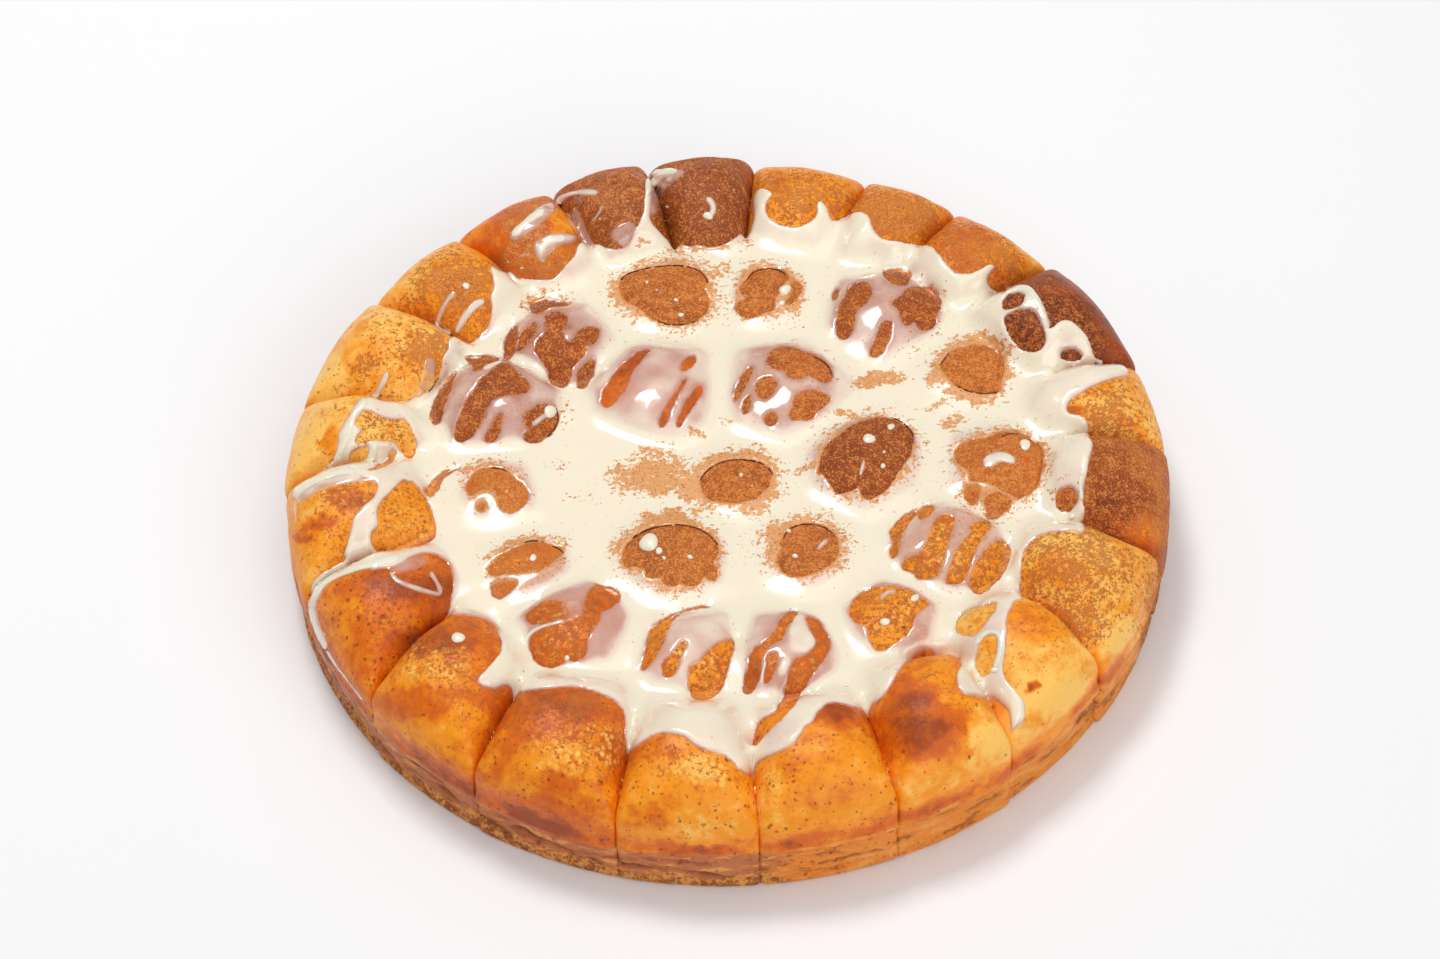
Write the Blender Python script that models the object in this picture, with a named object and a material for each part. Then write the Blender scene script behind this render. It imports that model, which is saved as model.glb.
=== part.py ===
"""A round pull-apart bread: forty-two small rolls baked together in a tin, iced in the middle.

Metres, +Z up. The origin is the middle of the flat base, and -Y is the front.
"""
import math

import bmesh
import bpy

MM = 0.001
MERGE = 0.003 * MM

# The dough as the tin shaped it
SHOULDER = 24.0 * MM
CORE_TOP = 24.5 * MM
CORE_PROFILE = ((123.0, 0.0), (124.2, 1.5), (124.2, 15.5), (120.5, 20.0), (107.0, 24.5))
RIM_CENTRE = 105.5 * MM
SEAM_INNER_RADIUS = 88.0 * MM
SEAM_OUTER_RADIUS = 125.0 * MM
PRESSED = 0.5 * MM
BASE_ROUNDING = 1.8 * MM
NEIGHBOUR_REACH = 62.0 * MM

# How square a roll's corners are at its side, how soon its crown turns round, and how full the crown is
CORNER_POWER = 6.0
ROUND_POWER = 2.2
CROWN_POWER = 2.3
DOME_STEPS = (0.48, 0.82, 1.0)
RIM_SIDES = 18
INNER_SIDES = 12
OUTLINE_STEPS = 180
WIDTH_STEP = 10
RIM_SIZE = 20.0 * MM
CRUST_COLOUR = (0.62, 0.27, 0.06)
CRUST_ROUGHNESS = 0.5

# The icing
POOL_PROFILE = ((125.0, 18.0), (125.0, 24.8), (98.0, 31.0))
POOL_UNDERSIDE = ((126.0, 0.0), (126.0, 16.0), (121.0, 20.6), (104.0, 27.6))
ICING_CEILING = 60.0 * MM
ICING_COAT = 1.6 * MM
COATED_REACH = 94
OUTLINE_SIDES = 84
CLEARANCE = 0.3 * MM
ICING_COLOUR = (0.86, 0.78, 0.64)
ICING_ROUGHNESS = 0.25

# One row for each rim roll, counter-clockwise from the right: the angle of the seam before it at the rim
# and at its inner end, then how far the roll reaches, its height, and how far the icing reaches in the seam
# and on the roll
RIM = (
    (1.1, 4.2, 126.0, 38.0, 100, 101),
    (16.0, 17.0, 126.5, 42.0, 123, 95),
    (37.4, 37.5, 125.0, 38.5, 106, 96),
    (54.3, 53.5, 125.0, 39.0, 102, 95),
    (68.3, 67.0, 125.0, 37.5, 104, 92),
    (84.5, 84.8, 125.5, 42.5, 100, 87),
    (99.8, 98.5, 125.5, 43.5, 96, 88),
    (113.9, 113.5, 125.0, 40.5, 116, 88),
    (129.5, 129.0, 125.0, 40.0, 93, 88),
    (145.8, 146.0, 126.0, 41.0, 90, 88),
    (166.5, 164.3, 125.8, 40.0, 104, 88),
    (181.2, 175.8, 125.0, 40.0, 123, 87),
    (199.7, 197.3, 125.0, 40.0, 123, 89),
    (218.4, 212.6, 125.5, 40.0, 92, 96),
    (236.2, 232.8, 126.0, 40.0, 96, 92),
    (255.2, 253.8, 126.0, 40.0, 96, 101),
    (272.7, 272.2, 126.0, 40.0, 111, 94),
    (290.1, 292.4, 126.0, 40.0, 97, 90),
    (306.4, 312.0, 125.0, 40.0, 121, 92),
    (323.4, 329.0, 126.0, 40.0, 92, 90),
    (342.6, 344.2, 126.3, 41.0, 102, 95),
)

# The rolls inside the rim: place, how hard each presses on its neighbours, and height
INNER = (
    (-15.7, 66.0, 16.0, 34.0),
    (14.0, 65.0, 13.0, 33.0),
    (49.2, 56.5, 17.5, 36.5),
    (73.0, 31.0, 15.0, 33.2),
    (78.2, -7.5, 18.0, 35.0),
    (61.8, -36.0, 17.0, 36.0),
    (44.3, -60.0, 14.5, 34.5),
    (15.2, -72.0, 15.0, 36.0),
    (-10.7, -70.0, 14.0, 36.0),
    (-43.0, -59.5, 16.0, 36.0),
    (-55.7, -38.2, 13.0, 33.0),
    (-64.0, -9.5, 14.5, 32.8),
    (-65.5, 25.0, 18.0, 38.0),
    (-47.6, 47.5, 15.5, 36.5),
    (-19.9, 27.0, 17.5, 37.0),
    (17.5, 25.5, 16.5, 36.0),
    (39.8, -4.0, 16.5, 35.5),
    (21.8, -36.0, 15.0, 33.0),
    (-14.9, -36.0, 16.5, 34.0),
    (-35.0, -5.0, 16.0, 28.5),
    (3.0, -9.0, 13.0, 32.4),
)


def clear_scene():
    for thing in list(bpy.data.objects):
        bpy.data.objects.remove(thing, do_unlink=True)


def material(name, colour, roughness):
    made = bpy.data.materials.new(name)
    made.use_nodes = True
    shader = made.node_tree.nodes["Principled BSDF"]
    shader.inputs["Base Color"].default_value = (*colour, 1.0)
    shader.inputs["Roughness"].default_value = roughness
    shader.inputs["Metallic"].default_value = 0.0
    return made


def around(radius, degrees):
    angle = math.radians(degrees)
    return radius * math.cos(angle), radius * math.sin(angle)


# Rolls

def all_rolls():
    """Every roll as a centre, a size, a height and the flat faces where its neighbours press on it."""
    rolls = []
    for index, (outer, inner, reach, crown, _, _) in enumerate(RIM):
        following = RIM[(index + 1) % len(RIM)]
        turn = 360.0 if index == len(RIM) - 1 else 0.0
        seams = ((outer, inner), (following[0] + turn, following[1] + turn))
        middle = sum(sum(seam) for seam in seams) / 4
        x, y = around(RIM_CENTRE, middle)
        rolls.append(dict(x=x, y=y, size=RIM_SIZE, crown=crown * MM, reach=reach * MM, seams=seams))
    for x, y, size, crown in INNER:
        rolls.append(dict(x=x * MM, y=y * MM, size=size * MM, crown=crown * MM, reach=None, seams=()))
    for roll in rolls:
        roll["presses"] = [seam_face(roll, seam, side) for seam, side in zip(roll["seams"], (-1, 1))]
        for other in rolls:
            if other is roll or (roll["seams"] and other["seams"]):
                continue
            face = shared_face(roll, other)
            if face:
                roll["presses"].append(face)
        widths = [half_width(roll, *around(1.0, degrees)) for degrees in range(0, 360, WIDTH_STEP)]
        roll["round"] = len(widths) / sum(1.0 / width for width in widths)
    return rolls


def seam_face(roll, seam, side):
    """The upright plane of a seam in the rim: its outward direction and how far it is from the centre."""
    inner_x, inner_y = around(SEAM_INNER_RADIUS, seam[1])
    outer_x, outer_y = around(SEAM_OUTER_RADIUS, seam[0])
    length = math.hypot(outer_x - inner_x, outer_y - inner_y)
    out_x = -side * (outer_y - inner_y) / length
    out_y = side * (outer_x - inner_x) / length
    distance = out_x * (inner_x - roll["x"]) + out_y * (inner_y - roll["y"])
    return out_x, out_y, distance + PRESSED


def shared_face(roll, other):
    """The upright plane between two neighbours, nearer to the smaller one."""
    along_x = other["x"] - roll["x"]
    along_y = other["y"] - roll["y"]
    apart = math.hypot(along_x, along_y)
    if apart > NEIGHBOUR_REACH:
        return None
    share = roll["size"] / (roll["size"] + other["size"])
    return along_x / apart, along_y / apart, apart * share + PRESSED


def half_width(roll, along_x, along_y):
    """How far a roll reaches from its centre in a level direction, with rounded corners."""
    total = 0.0
    for out_x, out_y, distance in roll["presses"]:
        facing = max(out_x * along_x + out_y * along_y, 0.0)
        total += (facing / distance) ** CORNER_POWER
    if roll["reach"]:
        total += (1.0 / tin_distance(roll, along_x, along_y)) ** CORNER_POWER
    return total ** (-1.0 / CORNER_POWER)


def tin_distance(roll, along_x, along_y):
    """The distance from a rim roll's centre to the tin's wall in a level direction."""
    ahead = roll["x"] * along_x + roll["y"] * along_y
    inside = roll["reach"] ** 2 - roll["x"] ** 2 - roll["y"] ** 2
    return -ahead + math.sqrt(ahead * ahead + inside)


def contour(roll, along_x, along_y, share):
    """A roll's outline at one height: round near the crown, and pressed to a shape at the side."""
    pressed = half_width(roll, along_x, along_y)
    square = share ** ROUND_POWER
    return share * (roll["round"] * (1.0 - square) + pressed * square)


def directions(roll, count):
    """Level directions round a roll, closer together where its outline turns."""
    points = []
    for step in range(OUTLINE_STEPS):
        angle = 2 * math.pi * step / OUTLINE_STEPS
        away = half_width(roll, math.cos(angle), math.sin(angle))
        points.append((away * math.cos(angle), away * math.sin(angle)))
    headings = []
    lengths = []
    for (from_x, from_y), (to_x, to_y) in zip(points, points[1:] + points[:1]):
        headings.append(math.atan2(to_y - from_y, to_x - from_x))
        lengths.append(math.hypot(to_x - from_x, to_y - from_y))
    perimeter = sum(lengths)
    totals = [0.0]
    for heading, following, length in zip(headings, headings[1:] + headings[:1], lengths):
        turn = (following - heading + math.pi) % (2 * math.pi) - math.pi
        totals.append(totals[-1] + length / perimeter + max(turn, 0.0) / math.pi)
    found = []
    step = 0
    for place in range(count):
        wanted = totals[-1] * (place + 0.5) / count
        while totals[step + 1] < wanted:
            step += 1
        way = (wanted - totals[step]) / (totals[step + 1] - totals[step])
        angle = 2 * math.pi * (step + way) / OUTLINE_STEPS
        found.append((math.cos(angle), math.sin(angle)))
    return found


def dome_height(crown, share):
    """The height of a roll's crust where the share of its half width is 0 in the middle and 1 at its side."""
    return SHOULDER + (crown - SHOULDER) * math.sqrt(max(1.0 - share ** CROWN_POWER, 0.0))


def roll_mesh(name, roll, swell):
    """One roll as a closed mesh: a domed crown on upright sides, grown by swell all round."""
    sides = RIM_SIDES if roll["seams"] else INNER_SIDES
    round_about = directions(roll, sides)
    rings = [(step, 0.0, dome_height(roll["crown"], step)) for step in DOME_STEPS]
    if roll["seams"]:
        rings += [(1.0, 0.0, BASE_ROUNDING), (1.0, -BASE_ROUNDING, 0.0)]
    else:
        rings += [(1.0, 0.0, CORE_TOP - BASE_ROUNDING)]
    mesh = bmesh.new()
    top = mesh.verts.new((roll["x"], roll["y"], roll["crown"] + swell))
    loops = []
    for share, extra, height in rings:
        loop = []
        for along_x, along_y in round_about:
            away = contour(roll, along_x, along_y, share) + extra + swell * share
            lift = swell * max(1.0 - share, 0.0) + (swell if height > SHOULDER else 0.0) * share
            x = roll["x"] + away * along_x
            y = roll["y"] + away * along_y
            loop.append(mesh.verts.new((x, y, height + lift)))
        loops.append(loop)
    bottom = mesh.verts.new((roll["x"], roll["y"], rings[-1][2]))
    for side in range(sides):
        after = (side + 1) % sides
        mesh.faces.new((top, loops[0][side], loops[0][after]))
        mesh.faces.new((bottom, loops[-1][after], loops[-1][side]))
        for upper, lower in zip(loops, loops[1:]):
            mesh.faces.new((upper[side], lower[side], lower[after]))
            mesh.faces.new((upper[side], lower[after], upper[after]))
    return finished(name, mesh)


def finished(name, mesh):
    """A named object from a bmesh, which is then freed."""
    data = bpy.data.meshes.new(name)
    mesh.to_mesh(data)
    mesh.free()
    made = bpy.data.objects.new(name, data)
    bpy.context.scene.collection.objects.link(made)
    return made


def turned(name, profile, sides):
    """A closed turned body from its profile, from the bottom up as radius and height in millimetres."""
    mesh = bmesh.new()
    loops = []
    for radius, height in profile:
        corners = [around(radius * MM, 360.0 * side / sides) for side in range(sides)]
        loops.append([mesh.verts.new((x, y, height * MM)) for x, y in corners])
    mesh.faces.new(reversed(loops[0]))
    mesh.faces.new(loops[-1])
    for lower, upper in zip(loops, loops[1:]):
        for side in range(sides):
            after = (side + 1) % sides
            mesh.faces.new((lower[side], lower[after], upper[after], upper[side]))
    return finished(name, mesh)


def combine(body, pieces, operation):
    """Joins pieces to a body, or cuts them from it, in one Boolean, and removes them."""
    group = bpy.data.collections.new("pieces")
    bpy.context.scene.collection.children.link(group)
    for piece in pieces:
        bpy.context.scene.collection.objects.unlink(piece)
        group.objects.link(piece)
    boolean = body.modifiers.new("combine", "BOOLEAN")
    boolean.operation = operation
    boolean.solver = "EXACT"
    boolean.operand_type = "COLLECTION"
    boolean.collection = group
    bpy.context.view_layer.update()
    with bpy.context.temp_override(object=body, active_object=body):
        bpy.ops.object.modifier_apply(modifier=boolean.name)
    for piece in pieces:
        bpy.data.objects.remove(piece, do_unlink=True)
    bpy.data.collections.remove(group)
    mesh = bmesh.new()
    mesh.from_mesh(body.data)
    bmesh.ops.remove_doubles(mesh, verts=mesh.verts, dist=MERGE)
    bmesh.ops.dissolve_degenerate(mesh, edges=mesh.edges, dist=MERGE)
    bmesh.ops.triangulate(mesh, faces=mesh.faces)
    mesh.to_mesh(body.data)
    mesh.free()


def keep_largest(body):
    """Drops the loose scraps that a Boolean leaves beside a body."""
    mesh = bmesh.new()
    mesh.from_mesh(body.data)
    waiting = set(mesh.verts)
    islands = []
    while waiting:
        island = set()
        reached = [waiting.pop()]
        while reached:
            vertex = reached.pop()
            island.add(vertex)
            for edge in vertex.link_edges:
                other = edge.other_vert(vertex)
                if other in waiting:
                    waiting.remove(other)
                    reached.append(other)
        islands.append(island)
    islands.sort(key=len, reverse=True)
    scraps = [vertex for island in islands[1:] for vertex in island]
    bmesh.ops.delete(mesh, geom=scraps, context="VERTS")
    bmesh.ops.triangulate(mesh, faces=mesh.faces)
    mesh.to_mesh(body.data)
    mesh.free()


def build_bread(rolls):
    bread = turned("bread", CORE_PROFILE, 2 * len(RIM))
    pieces = [roll_mesh("roll", roll, 0.0) for roll in rolls]
    combine(bread, pieces, "UNION")
    keep_largest(bread)
    bread.data.materials.clear()
    bread.data.materials.append(material("crust", CRUST_COLOUR, CRUST_ROUGHNESS))


# Icing

def icing_reach(degrees):
    """How far out the icing flows at an angle: in each seam and on each roll as stated, smooth between."""
    stations = []
    for index, row in enumerate(RIM):
        following = RIM[(index + 1) % len(RIM)]
        turn = 360.0 if index == len(RIM) - 1 else 0.0
        stations.append((row[1], row[4]))
        stations.append(((row[1] + following[1] + turn) / 2, row[5]))
    stations.append((stations[0][0] + 360.0, stations[0][1]))
    degrees = (degrees - stations[0][0]) % 360.0 + stations[0][0]
    for (before, low), (after, high) in zip(stations, stations[1:]):
        if degrees <= after:
            way = (degrees - before) / (after - before)
            return (low + (high - low) * (1 - math.cos(math.pi * way)) / 2) * MM
    return stations[0][1] * MM


def upright(name, outline, low, high):
    """A closed upright body on an outline."""
    mesh = bmesh.new()
    bottom = [mesh.verts.new((x, y, low)) for x, y in outline]
    top = [mesh.verts.new((x, y, high)) for x, y in outline]
    mesh.faces.new(reversed(bottom))
    mesh.faces.new(top)
    for side in range(len(outline)):
        after = (side + 1) % len(outline)
        mesh.faces.new((bottom[side], bottom[after], top[after], top[side]))
    return finished(name, mesh)


def build_icing(rolls):
    icing = turned("icing", POOL_PROFILE, 2 * len(RIM))
    coated = [roll for roll, row in zip(rolls, RIM) if row[5] >= COATED_REACH]
    combine(icing, [roll_mesh("coat", roll, ICING_COAT) for roll in coated], "UNION")
    outline = []
    for side in range(OUTLINE_SIDES):
        degrees = 360.0 * side / OUTLINE_SIDES
        outline.append(around(icing_reach(degrees), degrees))
    combine(icing, [upright("edge", outline, CORE_TOP / 2, ICING_CEILING)], "INTERSECT")
    cutters = [turned("cutter", POOL_UNDERSIDE, 2 * len(RIM))]
    cutters += [roll_mesh("cutter", roll, CLEARANCE) for roll in rolls]
    combine(icing, cutters, "DIFFERENCE")
    keep_largest(icing)
    icing.data.materials.clear()
    icing.data.materials.append(material("icing", ICING_COLOUR, ICING_ROUGHNESS))


clear_scene()
dough = all_rolls()
build_bread(dough)
build_icing(dough)
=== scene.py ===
"""A round pull-apart bread under poured icing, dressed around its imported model.

Sizes are in millimetres up to the point where a mesh is made. -Y is the front.
"""
import math

import bpy
import numpy as np
from mathutils import Matrix, Vector


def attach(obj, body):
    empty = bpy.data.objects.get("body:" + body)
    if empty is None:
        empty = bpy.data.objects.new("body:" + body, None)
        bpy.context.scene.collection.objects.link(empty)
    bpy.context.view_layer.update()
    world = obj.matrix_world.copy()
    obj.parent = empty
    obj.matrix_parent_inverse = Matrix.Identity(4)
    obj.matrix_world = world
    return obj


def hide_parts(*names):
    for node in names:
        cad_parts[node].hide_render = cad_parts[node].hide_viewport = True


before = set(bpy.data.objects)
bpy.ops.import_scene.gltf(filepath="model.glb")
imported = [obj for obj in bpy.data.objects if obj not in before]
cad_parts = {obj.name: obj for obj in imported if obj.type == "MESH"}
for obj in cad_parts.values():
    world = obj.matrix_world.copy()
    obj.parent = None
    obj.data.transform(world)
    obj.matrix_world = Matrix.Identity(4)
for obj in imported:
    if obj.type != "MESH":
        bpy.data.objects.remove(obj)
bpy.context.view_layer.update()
MM = 0.001


# The camera. It stands where the photograph was taken from, 49 degrees up and a metre off, with an 85 mm lens.
# Its shift frames the bread as the photograph does, so later sections can place things by pixels.

LENS = 85.0
SENSOR = 36.0
PICTURE = (1440, 959)
CAMERA_HEIGHT = 49.46
CAMERA_ROLL = -1.82
CAMERA_AWAY = 989.3
SHIFT = (7.0, 50.7)

FOCAL = LENS / SENSOR * PICTURE[0]
tilt = math.radians(CAMERA_HEIGHT)
forward = np.array([0.0, math.cos(tilt), -math.sin(tilt)])
level_right = np.array([1.0, 0.0, 0.0])
level_up = np.cross(level_right, forward)
roll_angle = math.radians(CAMERA_ROLL)
right = level_right * math.cos(roll_angle) + level_up * math.sin(roll_angle)
up = level_up * math.cos(roll_angle) - level_right * math.sin(roll_angle)

standpoint = -forward * CAMERA_AWAY

camera_data = bpy.data.cameras.new("camera")
camera_data.lens = LENS
camera_data.sensor_width = SENSOR
camera_data.shift_x = -SHIFT[0] / PICTURE[0]
camera_data.shift_y = SHIFT[1] / PICTURE[0]
camera = bpy.data.objects.new("camera", camera_data)
bpy.context.scene.collection.objects.link(camera)
turned = Matrix((right, up, -forward)).transposed().to_4x4()
turned.translation = Vector(standpoint * MM)
camera.matrix_world = turned
bpy.context.scene.camera = camera


def seen(points):
    """Where some points of the bread are in the photograph, in its pixels."""
    gap = points - standpoint
    far = gap @ forward
    return np.stack([PICTURE[0] / 2 + SHIFT[0] + FOCAL * (gap @ right) / far,
                     PICTURE[1] / 2 + SHIFT[1] - FOCAL * (gap @ up) / far], -1)


# The rolls of the rim. Twenty-one balls of sweet yeast dough that rose against each other and the tin, so
# each has a domed crust, flat pressed sides and an upright wall. The oven joined them; nothing else does.

SHOULDER = 24.0
RIM_CENTRE = 105.5
RIM_SIZE = 20.0
SEAM_INNER_RADIUS = 88.0
SEAM_OUTER_RADIUS = 125.0
PRESSED = 0.35
NEIGHBOUR_REACH = 62.0
CORNER_POWER = 15.0
ROUND_POWER = 2.2
CROWN_POWER = 2.2
RIM_SLOPE = 0.60
INNER_SLOPE = 0.52
BASE_ROUNDING = 1.8
RIM_SIDES = 130
DOME_RINGS = 28
WALL_RINGS = 30
BASE_RINGS = 3
OUTLINE_POINTS = 1440
CORNER_SHARE = 0.4
OUTWARD_SHARE = 1.4
DIRECTIONS = 36
HALVINGS = 16

# Counter-clockwise from the right: the angle of the seam before the roll at the rim and at its inner end,
# its reach and height, then how far it is baked, how much cinnamon lies on it and how speckled it is
RIM = (
    (1.1, 4.2, 126.0, 38.0, 0.20, 0.44, 0.30),
    (16.0, 17.0, 126.5, 42.0, 1.22, 0.60, 0.40),
    (37.4, 37.5, 125.0, 38.5, 0.52, 0.46, 0.80),
    (54.3, 53.5, 125.0, 39.0, 0.44, 0.52, 0.60),
    (68.3, 67.0, 125.0, 37.5, 0.40, 0.42, 0.50),
    (84.5, 84.8, 125.5, 42.5, 1.05, 1.00, 0.20),
    (99.8, 98.5, 125.5, 43.5, 0.95, 0.85, 0.30),
    (113.9, 113.5, 125.0, 40.5, 0.62, 0.55, 0.40),
    (129.5, 129.0, 125.0, 40.0, 0.36, 0.48, 0.40),
    (145.8, 146.0, 126.0, 41.0, 0.22, 0.26, 0.45),
    (166.5, 164.3, 125.8, 40.0, 0.12, 0.18, 0.45),
    (181.2, 175.8, 125.0, 40.0, 0.38, 0.30, 0.60),
    (199.7, 197.3, 125.0, 40.0, 0.62, 0.25, 1.00),
    (218.4, 212.6, 125.5, 40.0, 0.55, 0.30, 0.45),
    (236.2, 232.8, 126.0, 40.0, 0.60, 0.32, 0.70),
    (255.2, 253.8, 126.0, 40.0, 0.48, 0.20, 0.75),
    (272.7, 272.2, 126.0, 40.0, 0.46, 0.10, 0.75),
    (290.1, 292.4, 126.0, 40.0, 0.42, 0.20, 0.40),
    (306.4, 312.0, 125.0, 40.0, 0.18, 0.10, 0.22),
    (323.4, 329.0, 126.0, 40.0, 0.18, 0.46, 0.35),
    (342.6, 344.2, 126.3, 41.0, 0.92, 0.72, 0.30),
)


def around(radius, degrees):
    """The point at a radius and an angle from the middle of the bread."""
    angle = math.radians(degrees)
    return radius * math.cos(angle), radius * math.sin(angle)


def ease(value, low, high):
    """0 below low and 1 above high, smooth between."""
    way = np.clip((value - low) / (high - low), 0.0, 1.0)
    return way * way * (3 - 2 * way)


LUMP_TABLE = np.random.default_rng(7).uniform(-1, 1, (256, 256))


def lumps(x, y, size, seed):
    """Smooth random relief between -1 and 1, with its bumps about one size apart."""
    across, up = np.asarray(x) / size + 37.3 * seed, np.asarray(y) / size + 61.7 * seed
    column, row = np.floor(across).astype(int), np.floor(up).astype(int)
    across, up = ease(across - column, 0, 1), ease(up - row, 0, 1)
    column, row, after, over = column % 256, row % 256, (column + 1) % 256, (row + 1) % 256
    low = LUMP_TABLE[column, row] * (1 - across) + LUMP_TABLE[after, row] * across
    high = LUMP_TABLE[column, over] * (1 - across) + LUMP_TABLE[after, over] * across
    return low * (1 - up) + high * up


def layered(x, y, layers, base=0.0):
    """Relief on top of a base, in layers that each have a height, a size of bumps and a seed."""
    return sum((height * lumps(x, y, size, seed) for height, size, seed in layers), base)


class Roll:
    """One ball of dough: where it sat, how high it rose and the flat faces where others pressed on it."""

    def __init__(self, x, y, size, crown, bake, dust, specks, reach=0.0, seams=()):
        self.x, self.y, self.size, self.crown = x, y, size, crown
        self.bake, self.dust, self.specks = bake, dust, specks
        self.reach, self.seams = reach, seams
        self.presses = []

    def press_on_seams(self):
        """Flattens a roll of the rim against the seams on both sides of it."""
        for (outer, inner), side in zip(self.seams, (-1, 1)):
            inner_x, inner_y = around(SEAM_INNER_RADIUS, inner)
            outer_x, outer_y = around(SEAM_OUTER_RADIUS, outer)
            length = math.hypot(outer_x - inner_x, outer_y - inner_y)
            out_x = -side * (outer_y - inner_y) / length
            out_y = side * (outer_x - inner_x) / length
            distance = out_x * (inner_x - self.x) + out_y * (inner_y - self.y)
            self.presses.append((out_x, out_y, distance + PRESSED))

    def press_on(self, other):
        """Flattens the roll against a near one, where the gap divides as their sizes do."""
        along_x, along_y = other.x - self.x, other.y - self.y
        apart = math.hypot(along_x, along_y)
        if apart < NEIGHBOUR_REACH:
            share = self.size / (self.size + other.size)
            self.presses.append((along_x / apart, along_y / apart, apart * share + PRESSED))

    def half_width(self, along_x, along_y, power=CORNER_POWER):
        """How far the pressed roll reaches from its middle in a direction; a high power makes sharp corners."""
        total = np.zeros(np.shape(along_x))
        for out_x, out_y, distance in self.presses:
            facing = np.maximum(out_x * along_x + out_y * along_y, 0.0)
            total += (facing / distance) ** power
        if self.reach:
            ahead = self.x * along_x + self.y * along_y
            inside = self.reach ** 2 - self.x ** 2 - self.y ** 2
            total += (1.0 / (np.sqrt(ahead * ahead + inside) - ahead)) ** power
        return total ** (-1.0 / power)

    def settle(self):
        """Finds the radius of the round that the crown keeps, once all that presses on the roll is known."""
        turn = np.linspace(0.0, 2 * np.pi, DIRECTIONS, endpoint=False)
        self.round = DIRECTIONS / np.sum(1.0 / self.half_width(np.cos(turn), np.sin(turn)))

    def share_at(self, x, y):
        """How far out on the roll a point is: 0 at the middle, 1 at its side and beyond."""
        away = np.hypot(x - self.x, y - self.y) + 1e-6
        pressed = self.half_width((x - self.x) / away, (y - self.y) / away)
        low, high = np.zeros(away.shape), np.full(away.shape, 1.0)
        for _ in range(HALVINGS):
            middle = (low + high) / 2
            square = middle ** ROUND_POWER
            short = middle * (self.round * (1 - square) + pressed * square) < away
            low, high = np.where(short, middle, low), np.where(short, high, middle)
        return low

    def crust(self, share):
        """Height of the plain dome."""
        slope = RIM_SLOPE if self.reach else INNER_SLOPE
        return SHOULDER + (self.crown - SHOULDER) * np.maximum(1 - share ** CROWN_POWER, 0.0) ** slope


# How far the outlines of soft marks wander, in pixels, and where a mark fades, as a share of its half width
WANDER_ACROSS = ((7, 17.0, 51), (4, 7.0, 52))
WANDER_UP = ((6, 15.0, 53), (3, 6.0, 54))
MARK_FADES = (0.3, 1.3)


def marked(pixels, marks):
    """The strongest of some soft round marks at each point: middle, half width, half height and strength."""
    result = np.zeros(len(pixels))
    column, row = pixels[:, 0], pixels[:, 1]
    wandered_x, wandered_y = column + layered(column, row, WANDER_ACROSS), row + layered(column, row, WANDER_UP)
    for x, y, across, upward, strength in marks:
        off = np.hypot((wandered_x - x) / across, (wandered_y - y) / upward)
        mark = strength * (1 - ease(off, *MARK_FADES))
        result = np.where(np.abs(mark) > np.abs(result), mark, result)
    return result


# Over three of the back rolls the cinnamon caked into lumps under a wet glaze: the angle of their middle, how far
# to each side it fades, and the radii where it begins and ends
CAKED = 106.0
CAKED_SPREAD = (16.0, 23.0)
CAKED_FROM = (84.0, 90.0)
CAKED_TO = (106.0, 118.0)
CAKED_LUMPS = ((0.32, 3.0, 4), (0.16, 1.6, 5))
SWELLINGS = ((0.55, 13.0, 1), (0.2, 5.0, 2), (0.07, 2.0, 3))
SMOOTH_SIDE = 6


def caked(x, y):
    """How thickly the cinnamon has caked, from 0 to 1."""
    radius = np.hypot(x, y)
    off = np.abs(np.degrees(np.arctan2(y, x)) - CAKED)
    return ease(radius, *CAKED_FROM) * (1 - ease(radius, *CAKED_TO)) * (1 - ease(off, *CAKED_SPREAD))


def crust_relief(x, y, share):
    """The uneven rise of the crust: broad swellings, small dents and a fine pucker."""
    rise = layered(x, y, SWELLINGS) + caked(x, y) * layered(x, y, CAKED_LUMPS)
    return rise * (1 - share ** SMOOTH_SIDE)


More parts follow.
